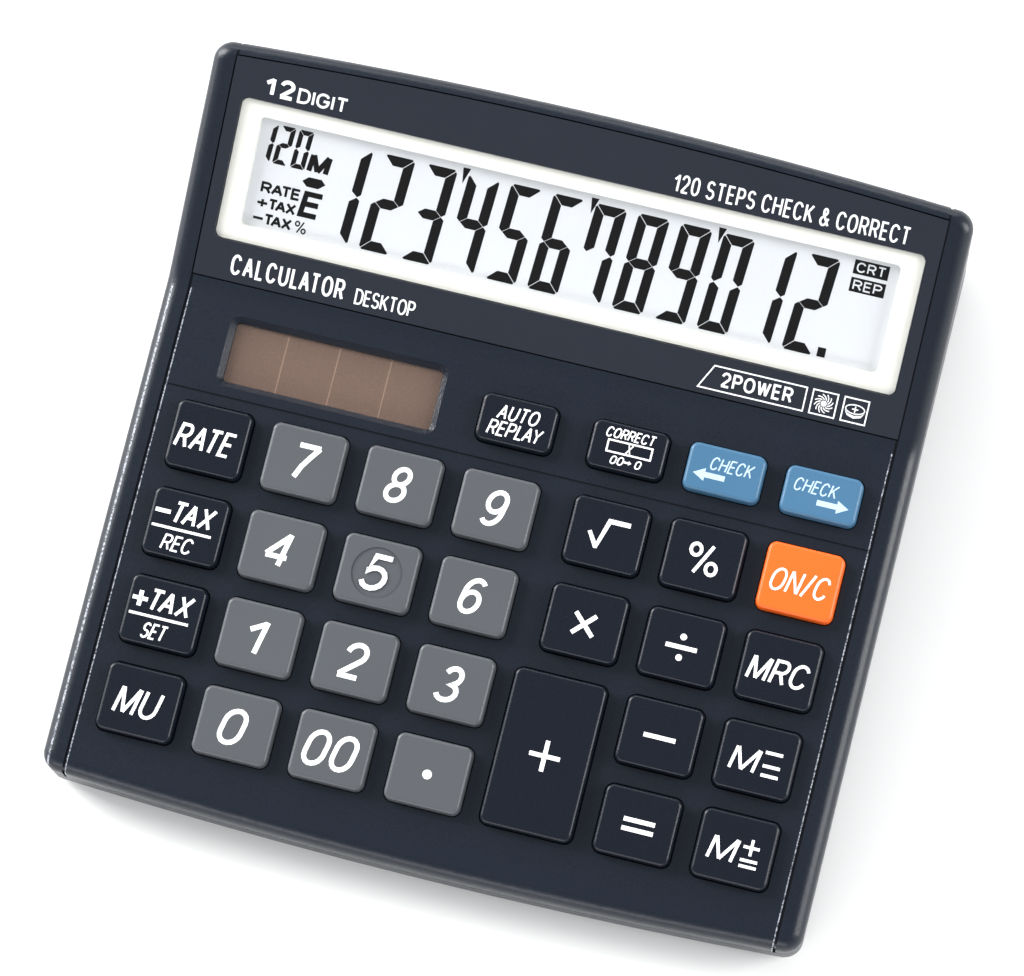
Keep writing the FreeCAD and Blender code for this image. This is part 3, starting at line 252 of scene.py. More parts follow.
# ---------------------------------------------------------------------------------------------
# Key mat: one sheet of grey silicone rubber with a dome under each key, moulded smooth, and a
# black carbon pill inside each dome. Light soaks into the silicone a little, so it looks milky,
# and the pills are dull as slate.
SILICONE_GREY = "#b9bcbc"
CARBON_BLACK = "#1b1b1c"
MILKY, SOAK = 0.2, 1.5  # how much light soaks in, and how many mm deep
mat_silicone = moulded("silicone_rubber_moulded", SILICONE_GREY, rough=0.5, ior=1.43, grain=0.5, depth=0.01)
milk = mat_silicone.node_tree.nodes["Principled BSDF"].inputs
milk["Subsurface Weight"].default_value = MILKY
milk["Subsurface Scale"].default_value = SOAK * MM
finish_in(mat_silicone, "key_mat")
pill_carbon = moulded("carbon_filled_rubber", CARBON_BLACK, rough=0.62, ior=1.5, grain=0.3, depth=0.02)
finish_in(pill_carbon, "contact_pills")


# ---------------------------------------------------------------------------------------------
# Top cover: the dark upper casing, moulded in the same ABS as the tray. The keypad slopes
# gently, the display more, and the side rails stand outside a fine groove. Along the keypad, thin
# pale sparkling lines are painted into the colour at the groove's lip and the left rail's shoulder.
# They are painted highlights, standing in for the light that rounded edges there would catch.
PAINTED_GLINT_LINES = [(60.42, 0.2), (-60.42, 0.2), (-63.7, 0.34)]  # how far across, and how wide, in mm
# the pale colour of the painted highlight lines
PAINTED_GLINT_TONE = "#a6abb4"
PAINTED_GLINT_STOP = 22.0  # in mm to the back, at the foot of the display
PAINTED_SPARKLE_SIZE = 0.4  # in mm: the size of the sparks in the painted highlight lines, coarser than the real grit so that it shows
cover_abs_with_painted_glints = moulded("abs_spark_eroded_navy_painted_glints", CASE_NAVY, rough=CASE_ROUGH, ior=ABS_IOR,
                    grain=CASE_GRAIN, depth=CASE_GRAIN_DEPTH, shine=CASE_SHINE)
tree = cover_abs_with_painted_glints.node_tree
shader = tree.nodes["Principled BSDF"]
place = tree.nodes["Texture Coordinate"].outputs["Object"]
spot = add(tree, "ShaderNodeSeparateXYZ", {0: place})
# painted highlight: the sparks and the lines below only mix the base colour toward a pale tone
dots = add(tree, "ShaderNodeTexNoise", {"Vector": place, "Scale": 1 / (PAINTED_SPARKLE_SIZE * MM), "Detail": 1.0})
spark = add(tree, "ShaderNodeMapRange", {"Value": dots.outputs["Fac"], "From Min": 0.4, "From Max": 0.62,
                                         "To Min": 0.12})
front = add(tree, "ShaderNodeMath", {0: spot.outputs["Y"], 1: PAINTED_GLINT_STOP * MM}, operation="LESS_THAN")
painted_glint_mask = add(tree, "ShaderNodeMath", {0: spark.outputs["Result"], 1: front.outputs["Value"]},
          operation="MULTIPLY")
# painted highlight: along each line, in front of the display's foot, the colour turns pale in sparks
for across, wide in PAINTED_GLINT_LINES:
    painted_glint_band = add(tree, "ShaderNodeMath", {0: spot.outputs["X"], 1: across * MM, 2: wide / 2 * MM},
               operation="COMPARE")
    part = add(tree, "ShaderNodeMath", {0: painted_glint_band.outputs["Value"], 1: painted_glint_mask.outputs["Value"]},
               operation="MULTIPLY")
    tint = add(tree, "ShaderNodeMix", {0: part.outputs["Value"],
                                       MIX_FIRST: shader.inputs["Base Color"].links[0].from_socket,
                                       MIX_SECOND: linear(PAINTED_GLINT_TONE)}, data_type="RGBA")
    tree.links.new(tint.outputs[MIX_RESULT], shader.inputs["Base Color"])
finish_in(cover_abs_with_painted_glints, "top_cover")


# ---------------------------------------------------------------------------------------------
# Solar cell: amorphous silicon on glass, brown with a faint violet cast, cut into four fields
# by fine lighter scribed lines. A clear pane covers it, and two tinned leads run to the board.
# The glass is smooth and even in gloss, and the pane adds only a thin mirror over it.
CELL_BROWN = "#6b564b"
SCRIBE_TONE = "#9c8070"
SCRIBE_WIDE, SCRIBE_THICK = 0.16, 0.02
FIELDS = 4
DRIFT, DUST = 14, 0.4  # in mm: slow drift in the film's colour, and dust that dulls its gloss
SMEAR = 9  # in mm: the wiping marks on a pane
TINNED = "#bdbfc2"
PANE_CLEAR = (0.995, 0.997, 0.997, 1.0)

cell_glass, tree, shader, place = start_material("amorphous_silicon_on_glass", {"IOR": 1.52})
drift = add(tree, "ShaderNodeTexNoise", {"Vector": place, "Scale": 1 / (DRIFT * MM), "Detail": 2.0})
dust = add(tree, "ShaderNodeTexNoise", {"Vector": place, "Scale": 1 / (DUST * MM), "Detail": 1.0})
tint = add(tree, "ShaderNodeMix", {0: drift.outputs["Fac"], MIX_FIRST: shade(CELL_BROWN, 0.94),
                                   MIX_SECOND: shade(CELL_BROWN, 1.06)}, data_type="RGBA")
gloss = add(tree, "ShaderNodeMapRange", {"Value": dust.outputs["Fac"], "To Min": 0.22, "To Max": 0.32})
tree.links.new(tint.outputs[MIX_RESULT], shader.inputs["Base Color"])
tree.links.new(gloss.outputs["Result"], shader.inputs["Roughness"])
finish_in(cell_glass, "solar_cell")
lead_tinned = drawn_metal("copper_wire_tinned", TINNED, rough=0.35, spacing=0.2, stretch=(1.0, 1.0, 0.2))
finish_in(lead_tinned, "solar_leads")


def top_of(name):
    """A matrix at the middle of the node's flat top: X across, Y up the slope, Z square to it."""
    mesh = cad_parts[name].data
    sums = {}
    for face in mesh.polygons:
        if face.normal.z > 0.7:
            key = tuple(round(part, 2) for part in face.normal)
            area, total = sums.get(key, (0.0, Vector()))
            sums[key] = (area + face.area, total + face.normal * face.area)
    up = max(sums.values(), key=lambda pair: pair[0])[1].normalized()
    across = Vector((1, 0, 0))
    along = up.cross(across)
    reach = [[vert.co.dot(axis) for vert in mesh.vertices] for axis in (across, along, up)]
    middle = [(min(reach[0]) + max(reach[0])) / 2, (min(reach[1]) + max(reach[1])) / 2, max(reach[2])]
    turn = Matrix((across, along, up)).transposed()
    return Matrix.Translation(turn @ Vector(middle)) @ turn.to_4x4()


def top_size(name):
    """How wide and how long the node is in its own slope, in millimetres."""
    flat = top_of(name).inverted()
    spots = [flat @ vert.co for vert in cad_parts[name].data.vertices]
    return [(max(s[axis] for s in spots) - min(s[axis] for s in spots)) / MM for axis in (0, 1)]


def patch(ink, corners):
    """Add one flat field, with its corners in millimetres, to a print."""
    return ink.faces.new([ink.verts.new((x, y, 0)) for x, y in corners])


def bar(ink, wide, high, x, y):
    """Add a straight bar centred on x, y."""
    half_x, half_y = wide / 2, high / 2
    patch(ink, [(x - half_x, y - half_y), (x + half_x, y - half_y), (x + half_x, y + half_y),
                (x - half_x, y + half_y)])


def lay(name, ink, top, thick, material, body):
    """Give the print its thickness and lay it on the slope."""
    bmesh.ops.recalc_face_normals(ink, faces=ink.faces[:])
    layer = bmesh.ops.extrude_face_region(ink, geom=ink.faces[:], use_keep_orig=True)
    upper = [item for item in layer["geom"] if isinstance(item, bmesh.types.BMVert)]
    bmesh.ops.translate(ink, verts=upper, vec=(0, 0, thick))
    bmesh.ops.recalc_face_normals(ink, faces=ink.faces[:])
    bmesh.ops.scale(ink, verts=ink.verts[:], vec=(MM, MM, MM))
    bmesh.ops.transform(ink, verts=ink.verts[:], matrix=top)
    return finish_piece(name, ink, material, body)


scribe = moulded("amorphous_silicon_scribed_line", SCRIBE_TONE, rough=0.35, ior=1.52, grain=0.4, depth=0.002)
cell_wide, cell_long = top_size("solar_window")
lines = bmesh.new()
for cut in range(1, FIELDS):
    bar(lines, SCRIBE_WIDE, cell_long, (cut / FIELDS - 0.5) * cell_wide, 0)
lay("solar_cell_lines", lines, top_of("solar_cell"), SCRIBE_THICK, scribe, "casing")


def clear_pane(name, haze):
    """A thin clear acrylic pane. Light goes straight through, and its surface mirrors a little."""
    material = bpy.data.materials.new(name)
    material.use_nodes = True
    tree = material.node_tree
    tree.nodes.clear()
    place = add(tree, "ShaderNodeTexCoord", {}).outputs["Object"]
    smear = add(tree, "ShaderNodeTexNoise", {"Vector": place, "Scale": 1 / (SMEAR * MM), "Detail": 3.0})
    gloss = add(tree, "ShaderNodeMapRange", {"Value": smear.outputs["Fac"], "To Min": 0.02, "To Max": haze})
    mirror = add(tree, "ShaderNodeBsdfGlossy", {"Roughness": gloss.outputs["Result"]})
    through = add(tree, "ShaderNodeBsdfTransparent", {"Color": PANE_CLEAR})
    edge = add(tree, "ShaderNodeFresnel", {"IOR": 1.49})
    inner = add(tree, "ShaderNodeNewGeometry", {}).outputs["Backfacing"]
    outer = add(tree, "ShaderNodeMath", {0: 1.0, 1: inner}, operation="SUBTRACT")
    share = add(tree, "ShaderNodeMath", {0: edge.outputs["Fac"], 1: outer.outputs["Value"]},
                operation="MULTIPLY")
    mixed = add(tree, "ShaderNodeMixShader", {0: share.outputs["Value"], 1: through.outputs["BSDF"],
                                              2: mirror.outputs["BSDF"]})
    add(tree, "ShaderNodeOutputMaterial", {"Surface": mixed.outputs["Shader"]})
    return material


pane_acrylic = clear_pane("acrylic_clear_moulded", 0.1)
finish_in(pane_acrylic, "solar_window")


# ---------------------------------------------------------------------------------------------
# Liquid-crystal display: two sheets of glass with polarisers, over a silvery reflector film.
# The crystal shows twelve figures that lean a little, and small signs at both ends. A flat amber
# film cable joins it to the board. The polariser is pale and silky, and driven crystal is black.
LCD_PALE = "#d4d6da"
LCD_DARK = "#050405"
FILM_SILVER, CABLE_AMBER = "#d9dcde", "#c9a257"
LCD_THICK = 0.02
FIGURES = "123456789012"
FIGURE_PITCH, FIGURE_FIRST, FIGURE_RISE = 7.29, -38.55, -0.45
FIGURE_WIDE, FIGURE_HIGH, FIGURE_STROKE = 5.3, 16.6, 1.7
FIGURE_GAP = 0.08
LEAN = math.tan(math.radians(4.0))
LIT = {"0": "abcdef", "1": "bc", "2": "abged", "3": "abgcd", "4": "fgbc", "5": "afgcd", "6": "afgedc",
       "7": "fabc", "8": "abcdefg", "9": "gfabcd"}

glass_pale = moulded("lcd_glass_polariser", LCD_PALE, rough=0.3, ior=1.5, grain=0.18, depth=0.002, vary=0.015)
finish_in(glass_pale, "lcd_glass")
film = drawn_metal("aluminised_reflector_film", FILM_SILVER, rough=0.34, spacing=0.3, stretch=(1.0, 0.1, 1.0))
finish_in(film, "reflector")
cable_film = moulded("polyester_film_cable", CABLE_AMBER, rough=0.36, ior=1.57, grain=0.5, depth=0.01)
finish_in(cable_film, "lcd_ribbon")


def figure(ink, segments, x, y, wide, high, stroke, gap):
    """Add a seven-segment figure with cut corners and mitred ends, leaning with the display."""
    side, top, cut, tip = wide / 2, high / 2, stroke * 0.3, stroke * 0.35
    level = [(cut - side, top), (side - cut, top), (side - cut / 2 - gap, top - cut / 2),
             (side - stroke - gap, top - stroke), (stroke + gap - side, top - stroke),
             (cut / 2 + gap - side, top - cut / 2)]
    middle = [(tip + gap - side, 0), (stroke + gap - side, stroke / 2), (side - stroke - gap, stroke / 2),
              (side - tip - gap, 0), (side - stroke - gap, -stroke / 2), (stroke + gap - side, -stroke / 2)]
    post = [(side - cut / 2, top - cut / 2 - gap), (side, top - cut - gap), (side, cut),
            (side - tip, gap / 2), (side - stroke, stroke / 2 + gap / 2), (side - stroke, top - stroke - gap)]
    shapes = {"a": (level, 1, 1), "d": (level, 1, -1), "g": (middle, 1, 1), "b": (post, 1, 1),
              "c": (post, 1, -1), "e": (post, -1, -1), "f": (post, -1, 1)}
    for letter in segments:
        corners, flip_x, flip_y = shapes[letter]
        patch(ink, [(x + flip_x * a + flip_y * b * LEAN, y + flip_y * b) for a, b in corners])


def bend(x, y, radius_x, radius_y, start, end, steps=9):
    """Points along an oval arc between two angles in degrees."""
    turns = [math.radians(start + (end - start) * step / steps) for step in range(steps + 1)]
    return [(x + radius_x * math.cos(turn), y + radius_y * math.sin(turn)) for turn in turns]


def ring(x, y, radius_x, radius_y):
    """A closed oval, which ends where it starts."""
    return bend(x, y, radius_x, radius_y, 90, 450, RING_STEPS)


RING_STEPS = 24
MITRE_LEAST = 0.65  # a corner stands out by at most half the pen's width divided by this
# plain sans letters as pen strokes: how wide each is for its height, and its strokes in a unit box
LETTERS = {
    "0": (0.54, [bend(.5, .66, .5, .34, 0, 180) + bend(.5, .34, .5, .34, 180, 360) + [(1, .66)]]),
    "1": (0.3, [[(1, 1), (1, 0)], [(0, .69), (1, .95)]]),
    "2": (0.54, [bend(.5, .72, .47, .28, 175, -38, 12) + [(.04, .03)], [(0, 0), (1, 0)]]),
    "3": (0.54, [bend(.48, .745, .43, .255, 160, -90, 11) + bend(.46, .25, .52, .25, 78, -160, 11)]),
    "4": (0.58, [[(.76, 0), (.76, 1)], [(.76, .97), (0, .3)], [(0, .27), (1, .27)]]),
    "5": (0.54, [[(.93, 1), (.2, 1), (.08, .5)] + bend(.47, .32, .51, .32, 138, -158, 12)]),
    "6": (0.54, [ring(.5, .31, .48, .31), bend(.54, .62, .52, .38, 42, 180) + [(.02, .31)]]),
    "7": (0.52, [[(0, 1), (1, 1)], [(.97, 1), (.72, .68), (.5, .36), (.38, 0)]]),
    "8": (0.54, [ring(.5, .755, .42, .245), ring(.5, .255, .49, .255)]),
    "9": (0.54, [ring(.5, .69, .48, .31), bend(.46, .38, .52, .38, -138, 0) + [(.98, .69)]]),
    "A": (0.64, [[(0, 0), (.5, 1)], [(.5, 1), (1, 0)], [(.17, .34), (.83, .34)]]),
    "C": (0.62, [bend(.5, .62, .5, .38, 24, 180) + bend(.5, .38, .5, .38, 180, 336)]),
    "D": (0.6, [[(0, 0), (0, 1), (.42, 1)] + bend(.44, .62, .56, .38, 84, 0)
                + bend(.44, .38, .56, .38, 0, -90) + [(0, 0)]]),
    "E": (0.48, [[(1, 1), (0, 1), (0, 0), (1, 0)], [(0, .52), (.92, .52)]]),
    "G": (0.64, [bend(.5, .62, .5, .38, 26, 180) + bend(.5, .38, .5, .38, 180, 345)
                 + [(1, .47), (.56, .47)]]),
    "H": (0.6, [[(0, 0), (0, 1)], [(1, 0), (1, 1)], [(0, .52), (1, .52)]]),
    "I": (0.0, [[(0, 0), (0, 1)]]),
    "K": (0.58, [[(0, 0), (0, 1)], [(.96, 1), (0, .35)], [(.33, .57), (1, 0)]]),
    "L": (0.46, [[(0, 1), (0, 0), (1, 0)]]),
    "M": (0.74, [[(0, 0), (0, 1)], [(1, 0), (1, 1)], [(.04, 1), (.5, .03)], [(.96, 1), (.5, .03)]]),
    "N": (0.6, [[(0, 0), (0, 1)], [(1, 0), (1, 1)], [(.04, 1), (.96, 0)]]),
    "O": (0.66, [bend(.5, .6, .5, .4, 0, 180) + bend(.5, .4, .5, .4, 180, 360) + [(1, .6)]]),
    "P": (0.54, [[(0, 0), (0, 1), (.58, 1)] + bend(.6, .74, .4, .26, 84, -90) + [(0, .48)]]),
    "R": (0.56, [[(0, 0), (0, 1), (.58, 1)] + bend(.6, .74, .4, .26, 84, -90) + [(0, .48)],
                 [(.55, .48), (1, 0)]]),
    "S": (0.56, [bend(.5, .745, .45, .255, 24, 262, 11) + bend(.5, .25, .5, .255, 82, -158, 11)]),
    "T": (0.56, [[(0, 1), (1, 1)], [(.5, 1), (.5, 0)]]),
    "U": (0.6, [[(0, 1)] + bend(.5, .34, .5, .34, 180, 360) + [(1, 1)]]),
    "W": (0.84, [[(0, 1), (.26, 0)], [(.26, 0), (.5, .95)], [(.5, .95), (.74, 0)], [(.74, 0), (1, 1)]]),
    "X": (0.6, [[(0, 0), (1, 1)], [(0, 1), (1, 0)]]),
    "Y": (0.6, [[(0, 1), (.5, .46), (1, 1)], [(.5, .46), (.5, 0)]]),
    "+": (0.76, [[(.5, .08), (.5, .88)], [(0, .48), (1, .48)]]),
    "-": (0.76, [[(0, .48), (1, .48)]]),
    "/": (0.34, [[(0, -.04), (1, 1.04)]]),
    "%": (0.9, [ring(.18, .78, .18, .2), ring(.82, .22, .18, .2), [(.24, 0), (.76, 1)]]),
    "&": (0.68, [[(1, 0), (.26, .68)] + bend(.47, .82, .21, .18, 215, -40) + [(.3, .5)]
                 + bend(.36, .25, .36, .25, 125, 320) + [(.95, .44)]]),
}
LETTER_SPACE, WORD_SPACE = 0.26, 0.4  # how far strokes of neighbouring letters and words stand apart
CLOSE_PAIRS, TUCKED = ("AT", "TA", "LA", "AY"), 0.14  # letters that tuck under each other
STEP, LEVELS = 0.002, 5  # crossing strokes lie at slightly different heights, in mm


def pen_stroke(ink, path, pen, level):
    """Add a stroke of even width along a path; a path that ends where it starts is closed."""
    spots = [Vector(spot) for spot in path]
    closed = (spots[0] - spots[-1]).length < 1e-6
    if closed:
        spots.pop()
    count, rails = len(spots), []
    for step, spot in enumerate(spots):
        before = spots[step - 1] if closed or step else 2 * spot - spots[1]
        after = spots[(step + 1) % count] if closed or step < count - 1 else 2 * spot - spots[step - 1]
        come, leave = (spot - before).normalized(), (after - spot).normalized()
        ahead = (come + leave).normalized()
        side = Vector((-ahead.y, ahead.x))
        mitre = max(MITRE_LEAST, side.dot(Vector((-come.y, come.x))))
        rails.append([ink.verts.new((*(spot + side * sign * pen / 2 / mitre), level)) for sign in (1, -1)])
    for step in range(count if closed else count - 1):
        here, there = rails[step], rails[(step + 1) % count]
        ink.faces.new((here[0], here[1], there[1], there[0]))


def words(ink, text, wide, high, x, y, pen, lean=0.0, space=LETTER_SPACE):
    """Add words drawn with an even pen, fitted to a width and height in millimetres, to a print."""
    strokes, at, last = [], 0.0, ""
    for letter in text:
        if letter == " ":
            at += WORD_SPACE
            continue
        share, paths = LETTERS[letter]
        at -= TUCKED if last + letter in CLOSE_PAIRS else 0.0
        last = letter
        strokes += [[(at + a * share, b - 0.5) for a, b in path] for path in paths]
        at += share + space
    left = min(a for path in strokes for a, b in path)
    span = max(a for path in strokes for a, b in path) - left
    rise = high - pen
    run = (wide - pen - rise * lean) / span if span else 0.0
    for number, path in enumerate(strokes):
        spots = [(x + (a - left - span / 2) * run + b * rise * lean, y + b * rise) for a, b in path]
        pen_stroke(ink, spots, pen, number % LEVELS * STEP)


SMALL_FIGURES = [("1", -53.3), ("2", -50.3), ("0", -47.2)]
SMALL_RISE, SMALL_WIDE, SMALL_HIGH, SMALL_STROKE, SMALL_GAP = 5.25, 2.5, 6.6, 0.82, 0.05
COMMA_PLACES = (-19.5, 2.6, 24.4)
COMMA = [(-0.45, 8.6), (-0.1, 5.9), (0.85, 8.6)]
POINT = (1.4, 1.6, 45.1, -7.9)  # width, height, how far right and up
MINUS_SIGN = [(-46.1, 0.2), (-45.1, 1.05), (-42.9, 1.05), (-42.1, 0.3), (-43.2, -0.6), (-45.2, -0.6)]
# the signs' words: text, width, height, how far right and up, pen, lean, and space between letters
LCD_WORDS = [
    ("M", 4.1, 3.7, -43.8, 3.5, 0.9, 0.12, LETTER_SPACE),
    ("E", 4.1, 4.5, -43.75, -3.55, 0.92, 0.12, LETTER_SPACE),
    ("RATE", 6.9, 2.0, -49.3, -2.35, 0.44, 0.0, 0.16),
    ("+TAX", 6.9, 2.0, -49.6, -4.95, 0.44, 0.0, 0.16),
    ("-TAX", 6.9, 2.0, -49.8, -7.6, 0.44, 0.0, 0.16),
    ("%", 2.1, 2.2, -44.8, -7.6, 0.25, 0.0, LETTER_SPACE),
]
BOX_WORDS = [("CRT", 50.1, 7.4), ("REP", 50.1, 4.4)]  # pale words spared out of dark boxes
BOX_FIELD, BOX_WORD, BOX_PEN = (5.9, 2.4), (4.9, 1.7), 0.26  # width and height of each, and the pen
crystal = moulded("liquid_crystal_driven_dark", LCD_DARK, rough=0.35, ior=1.5, grain=0.3, depth=0.001,
                  shine=0.1)
shown = bmesh.new()
for number, letter in enumerate(FIGURES):
    figure(shown, LIT[letter], FIGURE_FIRST + number * FIGURE_PITCH, FIGURE_RISE, FIGURE_WIDE, FIGURE_HIGH,
           FIGURE_STROKE, FIGURE_GAP)
for x in COMMA_PLACES:
    patch(shown, [(x + across, up) for across, up in COMMA])
bar(shown, *POINT)
for letter, x in SMALL_FIGURES:
    figure(shown, LIT[letter], x, SMALL_RISE, SMALL_WIDE, SMALL_HIGH, SMALL_STROKE, SMALL_GAP)
patch(shown, MINUS_SIGN)
for text, wide, high, x, y, pen, lean, space in LCD_WORDS:
    words(shown, text, wide, high, x, y, pen, lean=lean, space=space)
for text, x, y in BOX_WORDS:
    bar(shown, *BOX_FIELD, x, y)
lay("lcd_segments", shown, top_of("lcd_glass"), LCD_THICK, crystal, "casing")
spared = bmesh.new()
for text, x, y in BOX_WORDS:
    words(spared, text, *BOX_WORD, x, y, BOX_PEN)
lay("lcd_box_letters", spared, top_of("lcd_glass"), 2 * LCD_THICK, glass_pale, "casing")


# ---------------------------------------------------------------------------------------------
# Display surround: a white frame behind the clear window, screen printed with a fine pale
# speckle, and the clear acrylic window itself, flush with the panel.
FRAME_WHITE = "#e9e8e0"
frame_white = moulded("hips_white_speckled", FRAME_WHITE, rough=0.55, ior=1.5, grain=0.45, depth=0.035,
                      vary=0.015)
finish_in(frame_white, "display_frame")
finish_in(pane_acrylic, "display_window")


# ---------------------------------------------------------------------------------------------
# Display panel: a thin satin polycarbonate plate inlaid round the window, a little smoother
# than the case, with white screen-printed words and three boxed signs.
PANEL_NAVY = "#1b202a"
PRINT_WHITE = "#f1f2f3"
PRINT_THICK = 0.03
BOX_LINE, SIGN_LINE = 0.24, 0.18  # the borders of the boxes, and the lines of the signs in them
BOX_HIGH = 4.27
BOX_RISE = -15.84
panel_satin = moulded("polycarbonate_satin_navy", PANEL_NAVY, rough=0.36, ior=1.58, grain=0.25, depth=0.004,
                      shine=0.3)
finish_in(panel_satin, "display_panel")
# screen-printed ink: a dense, flat white with an eggshell sheen
ink_white = moulded("screen_print_ink_white", PRINT_WHITE, rough=0.48, ior=1.5, grain=0.3, depth=0.003,
                    vary=0.02)
panel_top = top_of("display_window")


def outline(ink, corners, line):
    """Add the border of a closed shape to a print."""
    field = patch(ink, corners)
    bmesh.ops.recalc_face_normals(ink, faces=[field])
    bmesh.ops.inset_region(ink, faces=[field], thickness=line, use_even_offset=True, use_boundary=True)
    bmesh.ops.delete(ink, geom=[field], context="FACES_ONLY")


def disc(ink, radius_x, radius_y, x, y, sides=32):
    """Add a filled round or oval field to a print."""
    turns = [side * math.tau / sides for side in range(sides)]
    patch(ink, [(x + radius_x * math.cos(turn), y + radius_y * math.sin(turn)) for turn in turns])


def boxed(ink, wide, high, x, y, slant=0.0):
    """Add a box whose left side may lean."""
    half_x, half_y = wide / 2, high / 2
    outline(ink, [(x - half_x, y - half_y), (x + half_x, y - half_y), (x + half_x, y + half_y),
                  (x - half_x + slant, y + half_y)], BOX_LINE)


def cross(ink, long, stroke, x, y, turned=0.0):
    """Add a cross with equal arms, upright or turned."""
    arm, half = long / 2, stroke / 2
    quarter = [(half, half), (arm, half), (arm, -half)]
    turns = [Matrix.Rotation(turned - step * math.pi / 2, 2) for step in range(4)]
    corners = [turn @ Vector(spot) for turn in turns for spot in quarter]
    patch(ink, [(x + spot.x, y + spot.y) for spot in corners])


# printed words: text, width, height, how far right and up, pen, and space between letters
UPPER_WORDS = [
    ("12", 5.2, 3.25, -52.6, 14.75, 0.64, 0.4),
    ("DIGIT", 8.6, 2.5, -45.1, 14.35, 0.4, LETTER_SPACE),
    ("120 STEPS CHECK & CORRECT", 40.0, 3.1, 35.1, 14.5, 0.36, 0.34),
]
LOWER_WORDS = [
    ("CALCULATOR", 19.7, 3.5, -44.8, -15.9, 0.46, 0.4),
    ("DESKTOP", 10.4, 2.7, -27.8, -16.4, 0.32, LETTER_SPACE),
]
for name, rows in (("panel_upper_words", UPPER_WORDS), ("panel_lower_words", LOWER_WORDS)):
    printed = bmesh.new()
    for text, wide, high, x, y, pen, space in rows:
        words(printed, text, wide, high, x, y, pen, space=space)
    lay(name, printed, panel_top, PRINT_THICK, ink_white, "casing")
badges = bmesh.new()
boxed(badges, 18.2, BOX_HIGH, 35.3, BOX_RISE, slant=2.2)
words(badges, "2POWER", 12.2, 2.6, 36.1, -15.8, 0.4, space=0.32)
SUN_X = 47.5
RAYS = 12
RAY_REACH = (0.66, 0.9, 1.15, 1.4, 1.6)
SWIRL = 0.85  # how fast the rays turn as they go out, in radians a millimetre
boxed(badges, 4.45, BOX_HIGH, SUN_X, BOX_RISE)
disc(badges, 0.5, 0.5, SUN_X, BOX_RISE)
for ray in range(RAYS):
    turns = [(reach, ray * math.tau / RAYS + reach * SWIRL) for reach in RAY_REACH]
    pen_stroke(badges, [(SUN_X + reach * math.cos(turn), BOX_RISE + reach * math.sin(turn))
                        for reach, turn in turns], SIGN_LINE, 0.0)
COIN_X, COIN_WIDE, COIN_HIGH, COIN_SIDES = 52.8, 1.7, 0.85, 28
COIN_RISE = BOX_RISE + 0.25
COIN_WALL = [(-1.7, -0.1), (-1.2, -0.95), (0.0, -1.3), (1.2, -0.95), (1.7, -0.1), (1.1, -0.6), (0.0, -0.85),
             (-1.1, -0.6)]
boxed(badges, 4.35, BOX_HIGH, COIN_X, BOX_RISE)
turns = [side * math.tau / COIN_SIDES for side in range(COIN_SIDES)]
outline(badges, [(COIN_X + COIN_WIDE * math.cos(turn), COIN_RISE + COIN_HIGH * math.sin(turn))
                 for turn in turns], SIGN_LINE)
cross(badges, 1.05, 0.2, COIN_X, COIN_RISE)
patch(badges, [(COIN_X + x, BOX_RISE + y) for x, y in COIN_WALL])
lay("panel_badges", badges, panel_top, PRINT_THICK, ink_white, "casing")


# ---------------------------------------------------------------------------------------------
# Keys: thirty-one hollow caps of moulded ABS, satin on top and rounded at the rim. The dark,
# grey, blue and orange ones come from separate shots, and the white legends are pad printed.
KEY_DARK, KEY_GREY, KEY_BLUE, KEY_ORANGE = "#0b111c", "#4e5155", "#406988", "#ef6420"
LEGEND_PALE = "#b3cbe0"
KEY_GRAIN, KEY_DEPTH = 0.22, 0.006  # in mm
LEGEND_THICK = 0.03
ITALIC = 0.21
BLUE_KEYS, ORANGE_KEYS = ("key_check_back", "key_check_forward"), ("key_on_clear",)
GREY_KEYS = ("key_7", "key_8", "key_9", "key_4", "key_5", "key_6", "key_1", "key_2", "key_3", "key_0",
             "key_00", "key_point")
key_names = [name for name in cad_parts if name.startswith("key_") and name != "key_mat"]
dark_keys = [name for name in key_names if name not in BLUE_KEYS + GREY_KEYS + ORANGE_KEYS]
# satin ABS: smoother than the case, so that the rims catch the light. Each row is one shot: its
# name, colour, roughness and shine, and the caps that it makes.
KEY_SHOTS = [
    ("abs_satin_key_dark", KEY_DARK, 0.3, 0.3, dark_keys),
    ("abs_satin_key_grey", KEY_GREY, 0.36, 0.36, GREY_KEYS),
    ("abs_satin_key_blue", KEY_BLUE, 0.36, 0.36, BLUE_KEYS),
    ("abs_satin_key_orange", KEY_ORANGE, 0.36, 0.36, ORANGE_KEYS),
]
for name, colour, rough, shine, caps in KEY_SHOTS:
    satin = moulded(name, colour, rough=rough, ior=ABS_IOR, grain=KEY_GRAIN, depth=KEY_DEPTH, shine=shine)
    finish_in(satin, *caps)
# pad-printed ink on the blue keys: thin enough for the blue to come through it
ink_pale = moulded("pad_print_ink_pale", LEGEND_PALE, rough=0.48, ior=1.5, grain=0.3, depth=0.003, vary=0.02)

